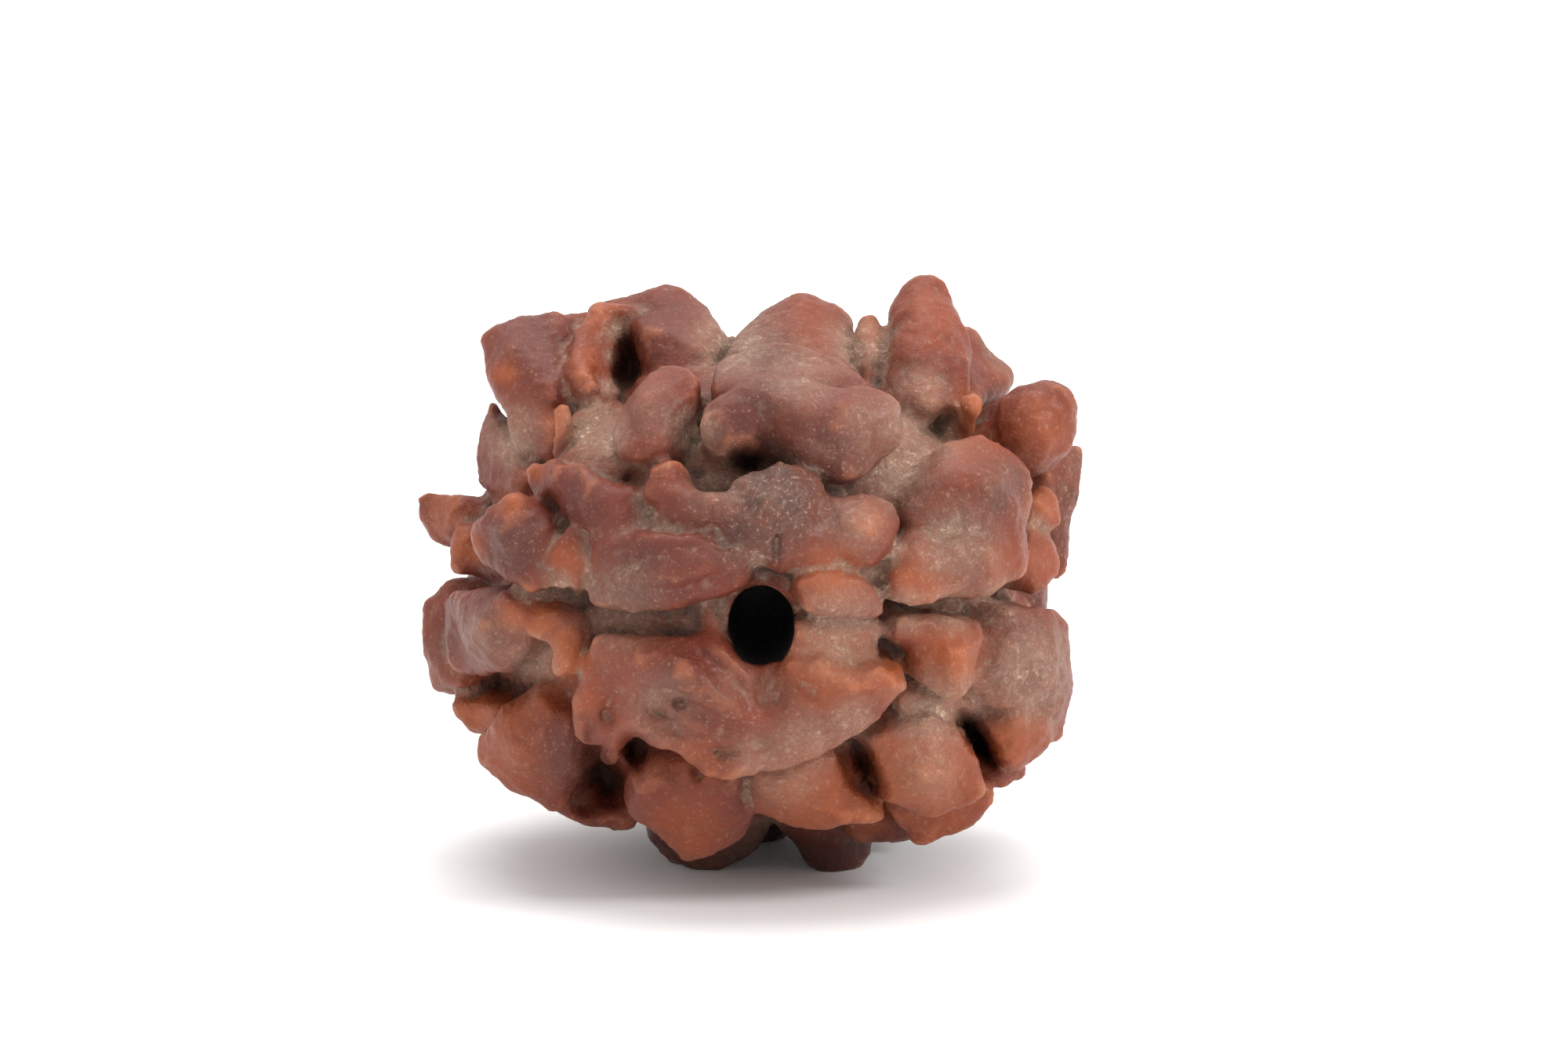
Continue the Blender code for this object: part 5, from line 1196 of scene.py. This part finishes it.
# Plum spots: partly the bead's own tone, partly painted shade on lower lobes
colour = glaze(colour, PLUM, times(attribute("plum_and_shade"), 0.8))
colour = glaze(colour, AMBER, times(attribute("amber"), 0.8))
colour = glaze(colour, AMBER, times(fleck, 0.25))
# Painted glow and highlight on thin crests, standing in for light shining through them and catching their
# rims
painted_crest_glow = joined("POWER", times(attribute("crest"), attribute("ridge")), 2.5)
painted_crest_glow = times(painted_crest_glow, less(1.0, attribute("pit_rim")))
colour = glaze(colour, THIN_EDGE_GLOW, times(painted_crest_glow, 0.5))
ash_cover = times(attribute("ash"), plus(times(mottle, 0.5), 0.45))
colour = glaze(colour, ASH, times(ash_cover, 0.85))
low_place = most(most(attribute("hollow"), attribute("valley")), attribute("crease"))
low_place = less(low_place, times(attribute("pit_rim"), 0.6))
pale_place = times(attribute("pale"), plus(times(low_place, 1.3), 0.5))
dust_place = most(pale_place, times(joined("POWER", low_place, 2.0), 0.6))
dust_cover = times(dust_place, plus(times(grit, 0.75), 0.42))
colour = glaze(colour, DUST, dust_cover)
colour = glaze(colour, DUST, times(times(grit, attribute("ash")), 0.12))
speck_place = plus(times(most(attribute("ash"), dust_place), 0.3), 0.15)
colour = glaze(colour, DUST, times(speck, speck_place))
# Painted shade under the bead, near the floor, where little light reaches
colour = glaze(colour, SHADE, times(attribute("under"), 0.7))
# Painted shade in cracks and deep hollows, and in the pits by their depth, where little light gets in
sunk = between(less(attribute("hollow"), attribute("height")), 0.45, 0.95)
painted_crack_shade = most(sunk, times(times(attribute("crease"), attribute("hollow")), 0.6))
colour = glaze(colour, CRACK_SHADE, most(times(painted_crack_shade, 0.7), times(attribute("pit_shade"), 0.75)))
# Painted shade inside the bore, nearly black, where no light reaches
colour = glaze(colour, BORE_SHADE, attribute("bore"))
tree.links.new(colour, surface.inputs["Base Color"])
print("glazes:", len(tree.nodes), "nodes")

# %% [markdown]
# The bare shell has a soft waxy shine from years of handling, and dust has none. So the roughness rises
# with the dust. Bump adds the pores and scratches that are finer than the mesh. A little scattering
# under the surface lets light through thin edges, and a thin coat gives the broad soft highlights.

# %% Shine, pores and wax
matt = plus(times(dust_cover, 0.45), times(ash_cover, 0.18))
dullness = plus(plus(matt, 0.38), times(mottle, 0.12))
tree.links.new(most(dullness, attribute("bore")), surface.inputs["Roughness"])
pores = plus(times(grain(0.10, 4, 0.75), 0.45), times(grain(0.38, 4, 0.6), 0.55))
crumbs = times(grit, plus(times(dust_cover, 0.7), times(ash_cover, 0.4)))
bump = tree.nodes.new("ShaderNodeBump")
bump.inputs["Strength"].default_value = 0.9
bump.inputs["Distance"].default_value = 0.13 * MM
tree.links.new(joined("ADD", pores, crumbs, clamp=False), bump.inputs["Height"])
tree.links.new(bump.outputs["Normal"], surface.inputs["Normal"])
surface.inputs["Subsurface Weight"].default_value = 0.10
surface.inputs["Subsurface Radius"].default_value = (1.0, 0.35, 0.18)
surface.inputs["Subsurface Scale"].default_value = 0.4 * MM
bare = less(less(1.0, attribute("bore")), dust_cover)
tree.links.new(times(bare, 0.15), surface.inputs["Coat Weight"])
surface.inputs["Coat Roughness"].default_value = 0.30
surface.inputs["Specular IOR Level"].default_value = 0.22
shell.data.materials.clear()
shell.data.materials.append(shell_material)
for face in shell.data.polygons:
    face.use_smooth = True
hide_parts("bead")
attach(shell, "root")
print("shell finished:", len(tree.nodes), "nodes")

# %% [markdown]
# The bead lies on a plain white surface under a large soft lamp, with a smaller one on the right, as in
# a light tent. The white all round matters: at a slant the lobes' sides mirror it in pale rims.

# %% Floor and light
FLOOR_HALF = 1.0
FLOOR_COLOUR = (0.9, 0.9, 0.9, 1)
TENT_COLOUR = (1.0, 0.99, 0.98, 1)
TENT_LIGHT = 1.05


def make_floor():
    """A plain pale square, level with the lowest points of the bead."""
    mesh = bpy.data.meshes.new("floor")
    corners = [(x * FLOOR_HALF, y * FLOOR_HALF, 0) for x, y in ((-1, -1), (1, -1), (1, 1), (-1, 1))]
    mesh.from_pydata(corners, [], [(0, 1, 2, 3)])
    floor = bpy.data.objects.new("floor", mesh)
    bpy.context.scene.collection.objects.link(floor)
    material = bpy.data.materials.new("floor")
    material.use_nodes = True
    paper = material.node_tree.nodes["Principled BSDF"]
    paper.inputs["Base Color"].default_value = FLOOR_COLOUR
    paper.inputs["Roughness"].default_value = 0.7
    mesh.materials.append(material)
    return floor


def make_lamp(name, place_mm, aim_mm, size_mm, power):
    """A round soft lamp, placed and aimed in millimetres."""
    lamp = bpy.data.lights.new(name, "AREA")
    lamp.shape = "DISK"
    lamp.size = size_mm * MM
    lamp.energy = power
    holder = bpy.data.objects.new(name, lamp)
    holder.location = Vector(place_mm) * MM
    aim = Vector(aim_mm) * MM - holder.location
    holder.rotation_euler = aim.to_track_quat("-Z", "Y").to_euler()
    bpy.context.scene.collection.objects.link(holder)


make_floor()
make_lamp("soft_top", (-10, 130, 890), (0, 0, 9), 800, 6.8)
make_lamp("side_fill", (640, -230, 430), (0, 0, 8), 220, 3.0)
sky = bpy.data.worlds.new("tent")
sky.use_nodes = True
sky.node_tree.nodes["Background"].inputs["Color"].default_value = TENT_COLOUR
sky.node_tree.nodes["Background"].inputs["Strength"].default_value = TENT_LIGHT
bpy.context.scene.world = sky
bpy.context.scene.view_settings.view_transform = "Standard"
print("lamps: 2")

# %% [markdown]
# The camera is a long lens a forearm's length away, level with the seam and looking down by the eye's
# tilt. Its shift sets the bead a little left of and below the middle, as the photograph frames it.

# %% Camera
CAMERA_DISTANCE = 260 * MM
SENSOR_WIDTH = 36
PIXELS_PER_MM = 42
IMAGE_SIZE = (2000, 1332)
BEAD_PIXEL = (958, 735)

frame_width = IMAGE_SIZE[0] / PIXELS_PER_MM * MM
eye = bpy.data.cameras.new("eye")
eye.sensor_width = SENSOR_WIDTH
eye.lens = SENSOR_WIDTH * CAMERA_DISTANCE / frame_width
eye.clip_start = 0.01
eye.shift_x = (IMAGE_SIZE[0] / 2 - BEAD_PIXEL[0]) / IMAGE_SIZE[0]
eye.shift_y = (BEAD_PIXEL[1] - IMAGE_SIZE[1] / 2) / IMAGE_SIZE[0]
camera = bpy.data.objects.new("eye", eye)
camera.location = Vector((0, 0, REST_HEIGHT)) + TOWARD * CAMERA_DISTANCE
camera.rotation_euler = (-TOWARD).to_track_quat("-Z", "Y").to_euler()
bpy.context.scene.collection.objects.link(camera)
bpy.context.scene.camera = camera
print("lens:", round(eye.lens, 1), "mm")
